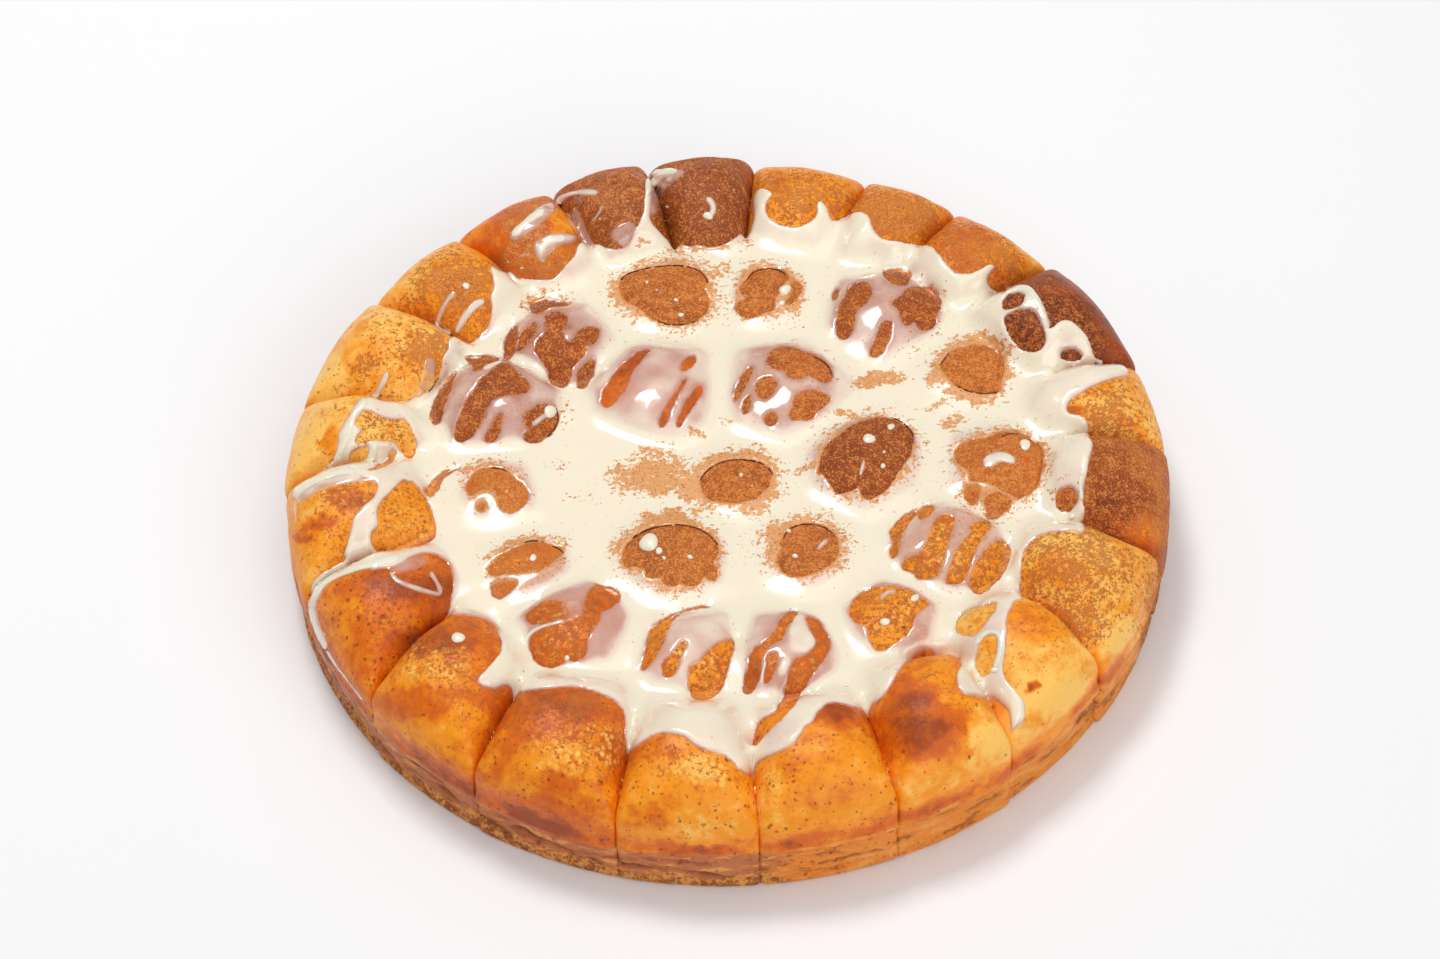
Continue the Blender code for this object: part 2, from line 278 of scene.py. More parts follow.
# The rolls inside the rim: place, how hard each presses on its neighbours, height, bake, cinnamon, specks
INNER = (
    (-15.7, 66.0, 16.0, 34.0, 0.75, 1.00, 0.3),
    (14.0, 65.0, 13.0, 33.0, 0.75, 0.95, 0.3),
    (49.2, 56.5, 17.5, 36.5, 0.92, 0.70, 0.5),
    (73.0, 31.0, 15.0, 33.2, 0.70, 1.00, 0.3),
    (78.2, -7.5, 18.0, 35.0, 0.60, 0.80, 0.5),
    (61.8, -36.0, 17.0, 36.0, 0.40, 0.42, 0.8),
    (44.3, -60.0, 14.5, 34.5, 0.42, 0.40, 0.8),
    (15.2, -72.0, 15.0, 36.0, 0.62, 0.45, 0.5),
    (-10.7, -70.0, 14.0, 36.0, 0.45, 0.42, 0.7),
    (-43.0, -59.5, 16.0, 36.0, 0.60, 0.45, 0.5),
    (-55.7, -38.2, 13.0, 33.0, 0.55, 0.62, 0.6),
    (-64.0, -9.5, 14.5, 32.8, 0.55, 0.70, 0.5),
    (-65.5, 25.0, 18.0, 38.0, 0.94, 0.70, 0.5),
    (-47.6, 47.5, 15.5, 36.5, 0.94, 0.70, 0.5),
    (-19.9, 27.0, 17.5, 37.0, 0.68, 0.30, 0.4),
    (17.5, 25.5, 16.5, 36.0, 0.82, 0.72, 0.5),
    (39.8, -4.0, 16.5, 35.5, 1.10, 0.85, 0.4),
    (21.8, -36.0, 15.0, 33.0, 0.70, 0.98, 0.3),
    (-14.9, -36.0, 16.5, 34.0, 0.78, 0.85, 0.4),
    (-35.0, -5.0, 16.0, 28.5, 0.60, 0.60, 0.4),
    (3.0, -9.0, 13.0, 32.4, 0.75, 1.00, 0.3),
)

rolls = []
for index, (outer, inner, reach, crown, bake, dust, specks) in enumerate(RIM):
    following = RIM[(index + 1) % len(RIM)]
    turn = 360.0 if index == len(RIM) - 1 else 0.0
    seams = ((outer, inner), (following[0] + turn, following[1] + turn))
    x, y = around(RIM_CENTRE, sum(sum(seam) for seam in seams) / 4)
    rolls.append(Roll(x, y, RIM_SIZE, crown, bake, dust, specks, reach, seams))
rolls += [Roll(*row) for row in INNER]
for roll in rolls:
    roll.press_on_seams()
    for other in rolls:
        if other is not roll and not (roll.seams and other.seams):
            roll.press_on(other)
    roll.settle()

# Where the wall was against the tin it is creased: a fold under the shoulder, wrinkles, each with its depth,
# squeeze, size and seed, and short level cracks, each with its angle, height, half length and depth
FOLD_HEIGHT = 14.0
FOLD_WAVES = ((1.8, 17.0, 11), (0.8, 5.0, 12))
FOLD_SET_BACK = 0.7
FOLD_BULGE = 0.5
WRINKLES = ((0.75, 2.6, 9.0, 13), (0.40, 2.2, 3.2, 14))
CRACK_HALF_HEIGHT = 0.75
CRACK_DEPTH = 1.5
CRACKS = (
    (228.0, 12.0, 7.0, 1.3), (231.5, 8.5, 5.0, 1.1), (244.0, 8.5, 6.5, 1.4), (248.0, 6.5, 4.0, 1.0),
    (252.0, 5.0, 3.0, 0.8), (263.0, 11.0, 5.0, 0.7), (281.0, 10.5, 6.0, 0.7), (297.0, 12.5, 6.0, 0.8),
    (310.5, 13.5, 6.5, 1.2), (314.0, 11.0, 4.0, 0.9), (319.5, 9.5, 4.0, 0.8), (333.0, 12.0, 5.0, 0.8),
    (207.0, 11.0, 5.0, 0.9), (211.5, 7.0, 4.0, 0.8), (190.0, 12.0, 5.0, 0.8), (172.0, 10.0, 5.0, 0.7),
    (150.0, 12.5, 6.0, 0.9), (138.0, 9.0, 4.0, 0.8), (120.0, 12.0, 5.0, 0.8), (105.0, 10.0, 6.0, 1.0),
    (90.0, 12.0, 4.0, 0.7), (74.0, 9.5, 5.0, 0.9), (60.0, 12.0, 5.0, 0.8), (45.0, 8.5, 5.0, 0.9),
    (28.0, 11.5, 6.0, 1.0), (8.0, 9.0, 4.0, 0.8), (352.0, 11.5, 5.0, 0.9),
    (238.0, 5.5, 9.0, 1.0), (257.0, 7.0, 8.0, 1.1), (266.5, 5.5, 9.0, 1.1), (285.0, 6.5, 9.0, 1.0),
    (302.0, 7.5, 8.0, 1.0), (323.0, 6.0, 6.0, 1.0), (221.0, 5.0, 7.0, 1.0), (199.0, 6.0, 7.0, 1.0),
)
# The wall is orange round this angle, where it touched the tin on the right of the front, and mauve elsewhere.
# The orange is partly its own colour and partly painted light, where the front right is lit most.
WARM_AND_LIT_FROM = 306.0
WARM_AND_LIT_SPREAD = (22.0, 40.0)
# The radii where the wall begins, and the heights between which it is creased
WALL_FROM = (119.0, 123.5)
WALL_COLOUR_FROM = (117.0, 121.0)
WALL_FOOT = (0.2, 1.5)
WALL_TOP = (26.0, 33.0)


def turned_from(degrees, place):
    """How far round from a place some angles are, between -180 and 180 degrees."""
    return (degrees - place + 180.0) % 360.0 - 180.0


def fold_height(x, y):
    """Where the crust stops following the tin and starts to dome, round the bread."""
    return layered(np.arctan2(y, x) * SEAM_OUTER_RADIUS, 0.0, FOLD_WAVES, FOLD_HEIGHT)


def wall_cracks(degrees, arc, height):
    """How deep the cracks in the wall are at each point."""
    total = np.zeros(np.shape(height))
    for place, middle, half_length, depth in CRACKS:
        along = np.radians(turned_from(degrees, place)) * SEAM_OUTER_RADIUS / half_length
        level = middle + 0.7 * lumps(arc, 0.0, 4.0, 15) - 0.8 * along
        total += depth * np.clip(1 - along ** 2, 0.0, 1.0) * np.exp(-((height - level) / CRACK_HALF_HEIGHT) ** 2)
    return total


def wall_relief(x, y, height):
    """How far the wall stands out from the tin's round: the fold, wrinkles below it and the cracks."""
    degrees = np.degrees(np.arctan2(y, x)) % 360.0
    arc = np.radians(degrees) * SEAM_OUTER_RADIUS
    fold = fold_height(x, y)
    below = ease(fold - height, -0.6, 0.8)
    relief = -FOLD_SET_BACK * below + FOLD_BULGE * np.exp(-((height - fold - 1.4) / 1.3) ** 2)
    wrinkled = 0.25 + 0.75 * below
    relief += wrinkled * sum(depth * lumps(arc, height * squeeze, size, seed)
                             for depth, squeeze, size, seed in WRINKLES)
    relief += 0.34 * ease(6.0 - height, -1.0, 2.0) * lumps(arc, height * 1.2, 1.3, 16)
    relief -= CRACK_DEPTH * wall_cracks(degrees, arc, height)
    return relief * ease(height, 0.0, 2.5)


def roll_surface(roll, sides, wall_rings):
    """Rings of points down a roll from its crown to the middle of its base."""
    fine = np.linspace(0.0, 2 * np.pi, OUTLINE_POINTS, endpoint=False)
    reach = roll.half_width(np.cos(fine), np.sin(fine))
    outline = np.stack([reach * np.cos(fine), reach * np.sin(fine)], -1)
    step = np.hypot(*(np.roll(outline, -1, 0) - outline).T)
    heading = np.unwrap(np.arctan2(*(np.roll(outline, -1, 0) - outline).T))
    step = step / step.sum() + CORNER_SHARE * np.abs(np.roll(heading, -1) - heading) / (2 * np.pi)
    outward = math.atan2(roll.y, roll.x)
    weight = step * (1 + (OUTWARD_SHARE if roll.reach else 0.0) * ease(np.cos(fine - outward), 0.55, 0.8))
    total = np.concatenate([[0.0], np.cumsum(weight)])
    angles = np.interp(np.linspace(0, total[-1], sides, endpoint=False), total[:-1], fine)
    along_x, along_y = np.cos(angles), np.sin(angles)
    pressed = roll.half_width(along_x, along_y)
    squared = roll.half_width(along_x, along_y, 2 * CORNER_POWER)
    rings = []
    for ring in range(1, DOME_RINGS + 1):
        share = math.sin(math.pi / 2 * ring / DOME_RINGS) ** (2 / CROWN_POWER)
        square = share ** ROUND_POWER
        away = share * (roll.round * (1 - square) + pressed * square)
        x, y = roll.x + away * along_x, roll.y + away * along_y
        rings.append((x, y, roll.crust(share) + crust_relief(x, y, share), np.full(sides, share)))
    lower = []
    for ring in range(1, wall_rings + 1):
        way = ring / wall_rings
        lower.append((pressed + (squared - pressed) * way, SHOULDER - (SHOULDER - BASE_ROUNDING) * way))
    for ring in range(1, BASE_RINGS + 1):
        angle = math.pi / 2 * ring / BASE_RINGS
        lower.append((squared - BASE_ROUNDING * (1 - math.cos(angle)), BASE_ROUNDING * (1 - math.sin(angle))))
    for away, height in lower:
        rings.append((roll.x + away * along_x, roll.y + away * along_y, np.full(sides, height), np.ones(sides)))
    points = np.array(rings)
    x, y, height = points[:, 0], points[:, 1], points[:, 2]
    radius = np.hypot(x, y)
    facing = ease(radius, *WALL_FROM) * ease(height, *WALL_FOOT) * (1 - ease(height, *WALL_TOP))
    push = 1 + wall_relief(x, y, height) * facing / radius
    return x * push, y * push, height, points[:, 3]


def closed_body(x, y, z, top, bottom):
    """Points and faces of a closed body from its rings, with one point at each end."""
    rings, sides = x.shape
    points = np.stack([x.ravel(), y.ravel(), z.ravel()], -1)
    points = np.concatenate([points, [top], [bottom]])
    ring, side = np.meshgrid(np.arange(rings - 1), np.arange(sides), indexing="ij")
    here, beside = ring * sides + side, ring * sides + (side + 1) % sides
    faces = np.stack([here, here + sides, beside + sides, beside], -1).reshape(-1, 4).tolist()
    first, last, count = rings * sides, rings * sides + 1, (rings - 1) * sides
    for side in range(sides):
        after = (side + 1) % sides
        faces.append([first, side, after])
        faces.append([last, count + after, count + side])
    return points, faces


def solid_piece(name, points, faces, attributes, material):
    """A smooth mesh that rides on the bread, with one number of each attribute at every point."""
    data = bpy.data.meshes.new(name)
    data.from_pydata((np.asarray(points) * MM).tolist(), [], faces)
    data.polygons.foreach_set("use_smooth", np.ones(len(data.polygons), bool))
    for label, values in attributes.items():
        layer = data.attributes.new(label, "FLOAT", "POINT")
        layer.data.foreach_set("value", np.asarray(values, np.float32))
    data.materials.append(material)
    data.update()
    piece = bpy.data.objects.new(name, data)
    bpy.context.scene.collection.objects.link(piece)
    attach(piece, "root")
    return piece


class Value:
    """A socket in a material, which arithmetic extends with the Math nodes that it needs."""

    def __init__(self, tree, socket):
        self.tree, self.socket = tree, socket

    def math(self, operation, *values):
        node = self.tree.nodes.new("ShaderNodeMath")
        node.operation = operation
        for slot, value in zip(node.inputs, values):
            if isinstance(value, Value):
                self.tree.links.new(value.socket, slot)
            else:
                slot.default_value = value
        return Value(self.tree, node.outputs[0])

    def __add__(self, other):
        return self.math("ADD", self, other)

    def __radd__(self, other):
        return self.math("ADD", other, self)

    def __sub__(self, other):
        return self.math("SUBTRACT", self, other)

    def __rsub__(self, other):
        return self.math("SUBTRACT", other, self)

    def __mul__(self, other):
        return self.math("MULTIPLY", self, other)

    def most(self, other):
        return self.math("MAXIMUM", self, other)


class Finish:
    """A material, built node by node around one Principled shader."""

    def __init__(self, name, **constants):
        self.material = bpy.data.materials.new(name)
        self.material.use_nodes = True
        self.tree = self.material.node_tree
        self.shader = self.tree.nodes["Principled BSDF"]
        for label, value in constants.items():
            self.shader.inputs[label.replace("_", " ")].default_value = value

    def node(self, kind, settings=(), output=0, **sockets):
        """Adds a node: its settings first, then the values or links of its sockets."""
        node = self.tree.nodes.new(kind)
        for label, value in dict(settings).items():
            setattr(node, label, value)
        for label, value in sockets.items():
            slot = node.inputs[int(label[1:])] if label[1:].isdigit() else node.inputs[label.replace("_", " ")]
            if isinstance(value, Value):
                self.tree.links.new(value.socket, slot)
            else:
                slot.default_value = value
        return Value(self.tree, node.outputs[output])

    def drive(self, **sockets):
        for label, value in sockets.items():
            self.tree.links.new(value.socket, self.shader.inputs[label.replace("_", " ")])

    def place(self, stretch=(1, 1, 1)):
        spot = self.node("ShaderNodeTexCoord", output="Object")
        return self.node("ShaderNodeMapping", Vector=spot, Scale=stretch)

    def carried(self, label):
        return self.node("ShaderNodeAttribute", {"attribute_name": label}, output="Fac")

    def grain(self, per_metre, detail=3.0, stretch=(1, 1, 1), roughness=0.55):
        return self.node("ShaderNodeTexNoise", Vector=self.place(stretch), Scale=per_metre, Detail=detail,
                         Roughness=roughness)

    def step(self, value, low, high):
        return self.node("ShaderNodeMapRange", {"interpolation_type": "SMOOTHSTEP"}, Value=value,
                         From_Min=low, From_Max=high)

    def mix(self, factor, first, second):
        return self.node("ShaderNodeMix", {"data_type": "RGBA"}, 2, _0=factor, _6=first, _7=second)

    def bump(self, height, strength, distance, normal=None):
        sockets = {} if normal is None else {"Normal": normal}
        return self.node("ShaderNodeBump", Height=height, Strength=strength, Distance=distance, **sockets)


def colour(red, green, blue):
    """A colour as a screen shows it, as the linear value that a shader needs."""
    return tuple((part / 255 / 12.92 if part < 10.3 else ((part / 255 + 0.055) / 1.055) ** 2.4)
                 for part in (red, green, blue)) + (1.0,)


# Where the photograph shows the crust darker or paler, in its pixels: middle, half width, half height, amount
STAINS = (
    (925, 735, 46, 40, 0.50), (912, 700, 32, 30, 0.36), (990, 738, 34, 32, -0.20), (960, 654, 30, 12, -0.05),
    (840, 714, 36, 16, 0.30), (768, 785, 22, 40, -0.12), (830, 790, 45, 30, 0.10), (1060, 695, 48, 26, -0.25),
    (1030, 622, 38, 20, 0.28), (1035, 686, 8, 8, 0.60), (1130, 640, 30, 24, -0.30), (700, 765, 34, 16, -0.25),
    (648, 750, 24, 16, 0.06), (1142, 532, 28, 14, -0.28), (705, 830, 44, 22, -0.12), (650, 818, 26, 14, 0.22),
    (580, 706, 46, 16, 0.12), (572, 760, 48, 24, -0.15), (512, 765, 24, 32, 0.06), (560, 812, 60, 16, 0.16),
    (556, 782, 26, 16, 0.22), (430, 640, 44, 18, 0.20), (436, 666, 44, 18, -0.20), (425, 705, 50, 18, 0.24),
    (690, 852, 40, 10, 0.22), (800, 770, 40, 30, 0.10), (402, 590, 52, 20, 0.22), (360, 665, 26, 30, 0.08),
    (303, 537, 13, 7, 0.50), (317, 529, 14, 7, 0.45), (331, 521, 12, 6, 0.45), (350, 500, 22, 12, 0.40),
    (330, 442, 14, 14, 0.30), (310, 440, 22, 30, -0.15), (385, 300, 40, 22, -0.10), (330, 380, 20, 30, -0.20),
    (1100, 640, 40, 20, -0.1), (1075, 408, 12, 8, 0.55), (1060, 570, 40, 20, 0.30), (1120, 500, 40, 24, 0.20),
    (560, 225, 14, 14, -0.3),
)
# Small pale blisters on the crust
BLISTERED = (
    (436, 662, 42, 24, 1.0), (580, 748, 50, 30, 1.0), (708, 768, 46, 20, 1.0), (405, 528, 28, 20, 0.8),
    (360, 490, 40, 20, 0.7), (905, 615, 40, 26, 0.8), (700, 650, 40, 44, 0.8), (560, 630, 40, 34, 0.6),
    (950, 548, 60, 36, 0.8), (490, 485, 36, 22, 0.7), (515, 566, 36, 22, 0.7), (790, 660, 40, 48, 0.5),
    (380, 425, 34, 24, 0.8), (1085, 575, 60, 34, 0.5), (670, 560, 50, 30, 0.4), (985, 615, 28, 16, 0.6),
)
# Cinnamon that lies more or less thickly than on the rest of its roll
SPRINKLED = (
    (1090, 560, 62, 34, 0.16), (1125, 655, 40, 24, -0.30), (1155, 610, 12, 44, 0.45), (1160, 500, 12, 60, 0.35),
    (1115, 470, 55, 26, 0.25), (1130, 545, 40, 14, -0.15), (1110, 415, 40, 20, 0.20), (990, 250, 50, 22, 0.20),
    (900, 215, 46, 22, 0.25), (905, 225, 14, 12, 0.4), (800, 195, 44, 20, 0.20), (698, 200, 52, 40, 0.40),
    (1080, 625, 40, 24, 0.30), (600, 205, 44, 34, 0.35), (560, 225, 16, 18, -0.5), (520, 240, 40, 30, 0.25),
    (484, 236, 26, 26, -0.6), (455, 285, 36, 18, 0.45), (395, 290, 22, 16, -0.3), (425, 350, 28, 26, 0.55),
    (370, 362, 18, 12, 0.35), (345, 345, 24, 20, -0.3), (385, 430, 30, 22, 0.30), (345, 500, 26, 14, 0.25),
    (580, 702, 44, 16, 0.22), (1010, 200, 40, 20, 0.15), (930, 548, 70, 40, 0.12), (440, 640, 44, 22, 0.15),
    (1060, 410, 20, 10, 0.2),
)
# The sifted cinnamon went over the right side of the rim too, as far as this from its middle
SIFTED_OVER = 352.0
SIFTED_SPREAD = (18.0, 40.0)

PALE_CRUST = colour(255, 198, 98)
BROWN_CRUST = colour(160, 66, 16)
DARK_CRUST = colour(104, 44, 18)
# How the crust browns from pale: where each colour starts and is reached
BAKING = (
    (0.02, 0.34, colour(246, 150, 24)),
    (0.32, 0.62, colour(218, 102, 10)),
    (0.58, 0.90, BROWN_CRUST),
    (0.92, 1.25, DARK_CRUST),
)
DARKEST = 1.22
# Two sizes of specks: how many to a metre, how wide, and how strong
SPECKS = ((290.0, 0.66, 0.85), (760.0, 1.0, 0.7))
CINNAMON = colour(222, 140, 68)
POWDER_SHADE = colour(172, 92, 38)
DARK_CINNAMON = colour(146, 68, 28)
FLECK = colour(166, 78, 30)
SPECK = colour(140, 52, 18)
PAN_MAUVE = colour(186, 108, 68)
LIT_PAN_ORANGE = colour(230, 134, 48)
PAN_BROWN = colour(134, 64, 28)
PAN_GOLD = colour(236, 164, 82)
BLISTER = colour(255, 208, 104)


def crust_look(finish):
    """The colour of the baked crust with the cinnamon on it, and how matt it is."""
    broad = finish.grain(60.0, 3.0)
    middle = finish.grain(260.0, 4.0)
    fine = finish.grain(1900.0, 3.0)
    crumbs = finish.grain(800.0, 4.0, roughness=0.7)
    bake = finish.carried("bake") + (broad - 0.5) * 0.60 + (middle - 0.5) * 0.60 + (crumbs - 0.5) * 0.30
    crust = PALE_CRUST
    for low, high, tone in BAKING:
        crust = finish.mix(finish.step(bake, low, high), crust, tone)
    # Blisters are pale grains with browned gaps
    cells = finish.node("ShaderNodeTexVoronoi", output="Distance", Vector=finish.place(), Scale=600.0)
    blister = finish.carried("blister") * finish.step(middle + (fine - 0.5) * 0.3, 0.38, 0.55)
    grains = (1.0 - finish.step(cells, 0.25, 0.60)) * blister
    gaps = finish.step(cells, 0.50, 0.8) * blister
    crust = finish.mix(gaps * 0.5, crust, BROWN_CRUST)
    crust = finish.mix(grains * 0.8, crust, BLISTER)
    # The wall: a smooth mauve or orange band where it touched the tin, and coarse brown crumb at its foot.
    # The orange there is partly painted light.
    streaks = finish.grain(105.0, 5.0, (1.0, 1.0, 3.2), 0.6)
    wall = finish.carried("wall")
    foot = finish.carried("foot") + (streaks - 0.5) * 0.8
    pan = finish.mix(finish.step(finish.carried("warm_and_lit") + (broad - 0.5) * 1.2, 0.3, 0.7), PAN_MAUVE, LIT_PAN_ORANGE)
    pan = finish.mix(finish.step(streaks + (crumbs - 0.5) * 0.25, 0.53, 0.62) * 0.85, pan, PAN_GOLD)
    pan = finish.mix((1.0 - finish.step(streaks + (crumbs - 0.5) * 0.4, 0.34, 0.47)) * 0.85, pan, PAN_BROWN)
    crumb = finish.mix(finish.step(crumbs + (middle - 0.5) * 0.6, 0.42, 0.6), PAN_BROWN, PAN_GOLD)
    pan = finish.mix(finish.step(foot, 0.45, 0.75) * 0.8, pan, crumb)
    crust = finish.mix(finish.step(wall + (streaks - 0.5) * 1.1, 0.35, 0.75) * 0.9, crust, pan)
    # Round specks of cinnamon and sugar
    many = finish.carried("specks")
    for per_metre, widest, amount in SPECKS:
        spacing = dict(Vector=finish.place(), Scale=per_metre)
        gap = finish.node("ShaderNodeTexVoronoi", output="Distance", **spacing)
        chance = finish.node("ShaderNodeTexVoronoi", output="Color", **spacing)
        radius = (chance + many * 0.40 - 0.71) * widest + (crumbs - 0.5) * 0.6 + (fine - 0.5) * 0.4
        crust = finish.mix(finish.step(radius - gap, 0.0, 0.20) * amount, crust, SPECK)
    patches = finish.grain(420.0, 4.0, roughness=0.65)
    dust = finish.carried("dust") + (patches - 0.5) * 1.5 + (crumbs - 0.5) * 2.4 + (fine - 0.5) * 1.9
    dusted = finish.step(dust, 0.44, 0.70)
    toasted = finish.step(bake, 0.62, 1.12)
    shade = finish.mix(toasted, POWDER_SHADE, DARK_CINNAMON)
    lit = fine + (crumbs - 0.5) * 0.7 + (patches - 0.5) * 0.5 - toasted * 0.09
    powder = finish.mix(finish.step(lit, 0.38, 0.62), shade, CINNAMON)
    # Where little of it lies, it shows as single brown flecks
    sparse = 1.0 - finish.step(finish.carried("dust"), 0.45, 0.85)
    powder = finish.mix(sparse * 0.65, powder, FLECK)
    crust = finish.mix(dusted * 0.9, crust, powder)
    # Painted shade: the crust darkens in the seams between the rolls and in the cracks of the wall
    crust = finish.mix(finish.carried("crease_shade") * 0.8, crust, DARK_CRUST)
    return crust, dusted, fine, middle, crumbs, grains


def crust_material():
    """Baked crust: matt where cinnamon lies on it, moist and puckered under the glaze."""
    finish = Finish("baked_crust", Specular_IOR_Level=0.3)
    crust, dusted, fine, middle, crumbs, grains = crust_look(finish)
    finish.drive(Base_Color=crust)
    wet = finish.carried("wet")
    matt = dusted * (1.0 - wet) * 0.42 + finish.carried("foot") * 0.2
    finish.drive(Roughness=0.38 + matt + (middle - 0.5) * 0.2 - wet * 0.20)
    puckered = finish.bump((middle + grains * 0.5) * (1.0 + wet * 2.5) + crumbs * wet * 0.8, 0.30, 0.0012)
    coarse = fine * (0.35 + dusted + finish.carried("foot"))
    finish.drive(Normal=finish.bump(coarse, 0.45, 0.0006, puckered))
    return finish.material


def look_at_points(x, y, height, share, roll):
    """The crust's own numbers at every point of one roll."""
    pixels = seen(np.stack([x, y, height], -1))
    radius = np.hypot(x, y)
    outer = ease(radius, 106.0, 122.0) if roll.reach else np.zeros(np.shape(x))
    fold = fold_height(x, y)
    over_fold = np.exp(-((height - fold - 4.0) / 4.5) ** 2) * ease(radius, 116.0, 123.0)
    degrees = np.degrees(np.arctan2(y, x)) % 360.0
    arc = np.radians(degrees) * SEAM_OUTER_RADIUS
    over_fold = over_fold * (1 + 0.8 * lumps(arc, height, 9.0, 23))
    stain = marked(pixels, STAINS)
    bake = roll.bake - 0.16 * outer * (roll.bake > 0.3) + 0.30 * over_fold + stain
    bake = np.minimum(bake, DARKEST)
    on_wall = ease(radius, *WALL_COLOUR_FROM)
    kept_off = 0.35 + 0.65 * ease(np.abs(turned_from(degrees, SIFTED_OVER)), *SIFTED_SPREAD)
    beyond = ease(radius, 112.0, 126.0) * kept_off
    dust = roll.dust * (1.1 - 0.7 * beyond) + marked(pixels, SPRINKLED) - 0.3 * beyond
    wall = ease(fold + 2.5 - height, -2.5, 3.5) * on_wall
    # Partly painted light: the wall is paler and more orange round the front right, where it is lit most
    warm_and_lit = 1 - ease(np.abs(turned_from(degrees, WARM_AND_LIT_FROM)), *WARM_AND_LIT_SPREAD)
    foot = ease(5.5 + 2.5 * lumps(x, y, 11.0, 22) - height, -3.0, 3.0) * on_wall * (1 - 0.6 * warm_and_lit)
    # Painted shade: the crust is darker in the seams between rolls and in the cracks of the wall
    crack_shade = ease(wall_cracks(degrees, arc, height), 0.15, 0.8) * on_wall
    crease_shade = np.maximum(ease(share, 0.975, 1.0) * (1 - ease(radius, 120.0, 123.0)), crack_shade)
    return dict(bake=bake, dust=dust, wall=wall, foot=foot, warm_and_lit=warm_and_lit, specks=np.full(len(x), roll.specks),
                crease_shade=crease_shade, blister=np.maximum(marked(pixels, BLISTERED), 0),
                wet=caked(x, y) * (roll.reach > 0))


def baked(name, members, sides, wall_rings, material):
    """A group of rolls as one piece."""
    points, faces, attributes = [], [], {}
    for roll in members:
        x, y, z, share = roll_surface(roll, sides, wall_rings)
        top = (roll.x, roll.y, roll.crown + float(crust_relief(roll.x, roll.y, 0.0)))
        own_points, own_faces = closed_body(x, y, z, top, (roll.x, roll.y, 0.0))
        start = sum(len(part) for part in points)
        faces += [[corner + start for corner in face] for face in own_faces]
        points.append(own_points)
        share = np.concatenate([share.ravel(), [0.0, 1.0]])
        found = look_at_points(own_points[:, 0], own_points[:, 1], own_points[:, 2], share, roll)
        for label, values in found.items():
            attributes.setdefault(label, []).append(values)
    attributes = {label: np.concatenate(values) for label, values in attributes.items()}
    piece = solid_piece(name, np.concatenate(points), faces, attributes, material)
    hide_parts("bread")
    return piece


FRONT = -8.0
crust_finish = crust_material()
front_rolls = [roll for roll in rolls[:len(RIM)] if roll.y < FRONT]
back_rolls = [roll for roll in rolls[:len(RIM)] if roll.y >= FRONT]
baked("front_rolls", front_rolls, RIM_SIDES, WALL_RINGS, crust_finish)
baked("back_rolls", back_rolls, RIM_SIDES, WALL_RINGS, crust_finish)

# The rolls inside the rim. The same dough with no wall of their own, standing on the same base; all but
# their crowns is under the icing.

INNER_SIDES = 72
SKIRT_RINGS = 2
baked("inner_rolls", rolls[len(RIM):], INNER_SIDES, SKIRT_RINGS, crust_finish)


# The icing. A thick sugar glaze poured over the middle while it was warm: a level pool between the rolls,
# films over their crowns, lobes over the inner ends of the rim, threads and drops. It set where it stopped.

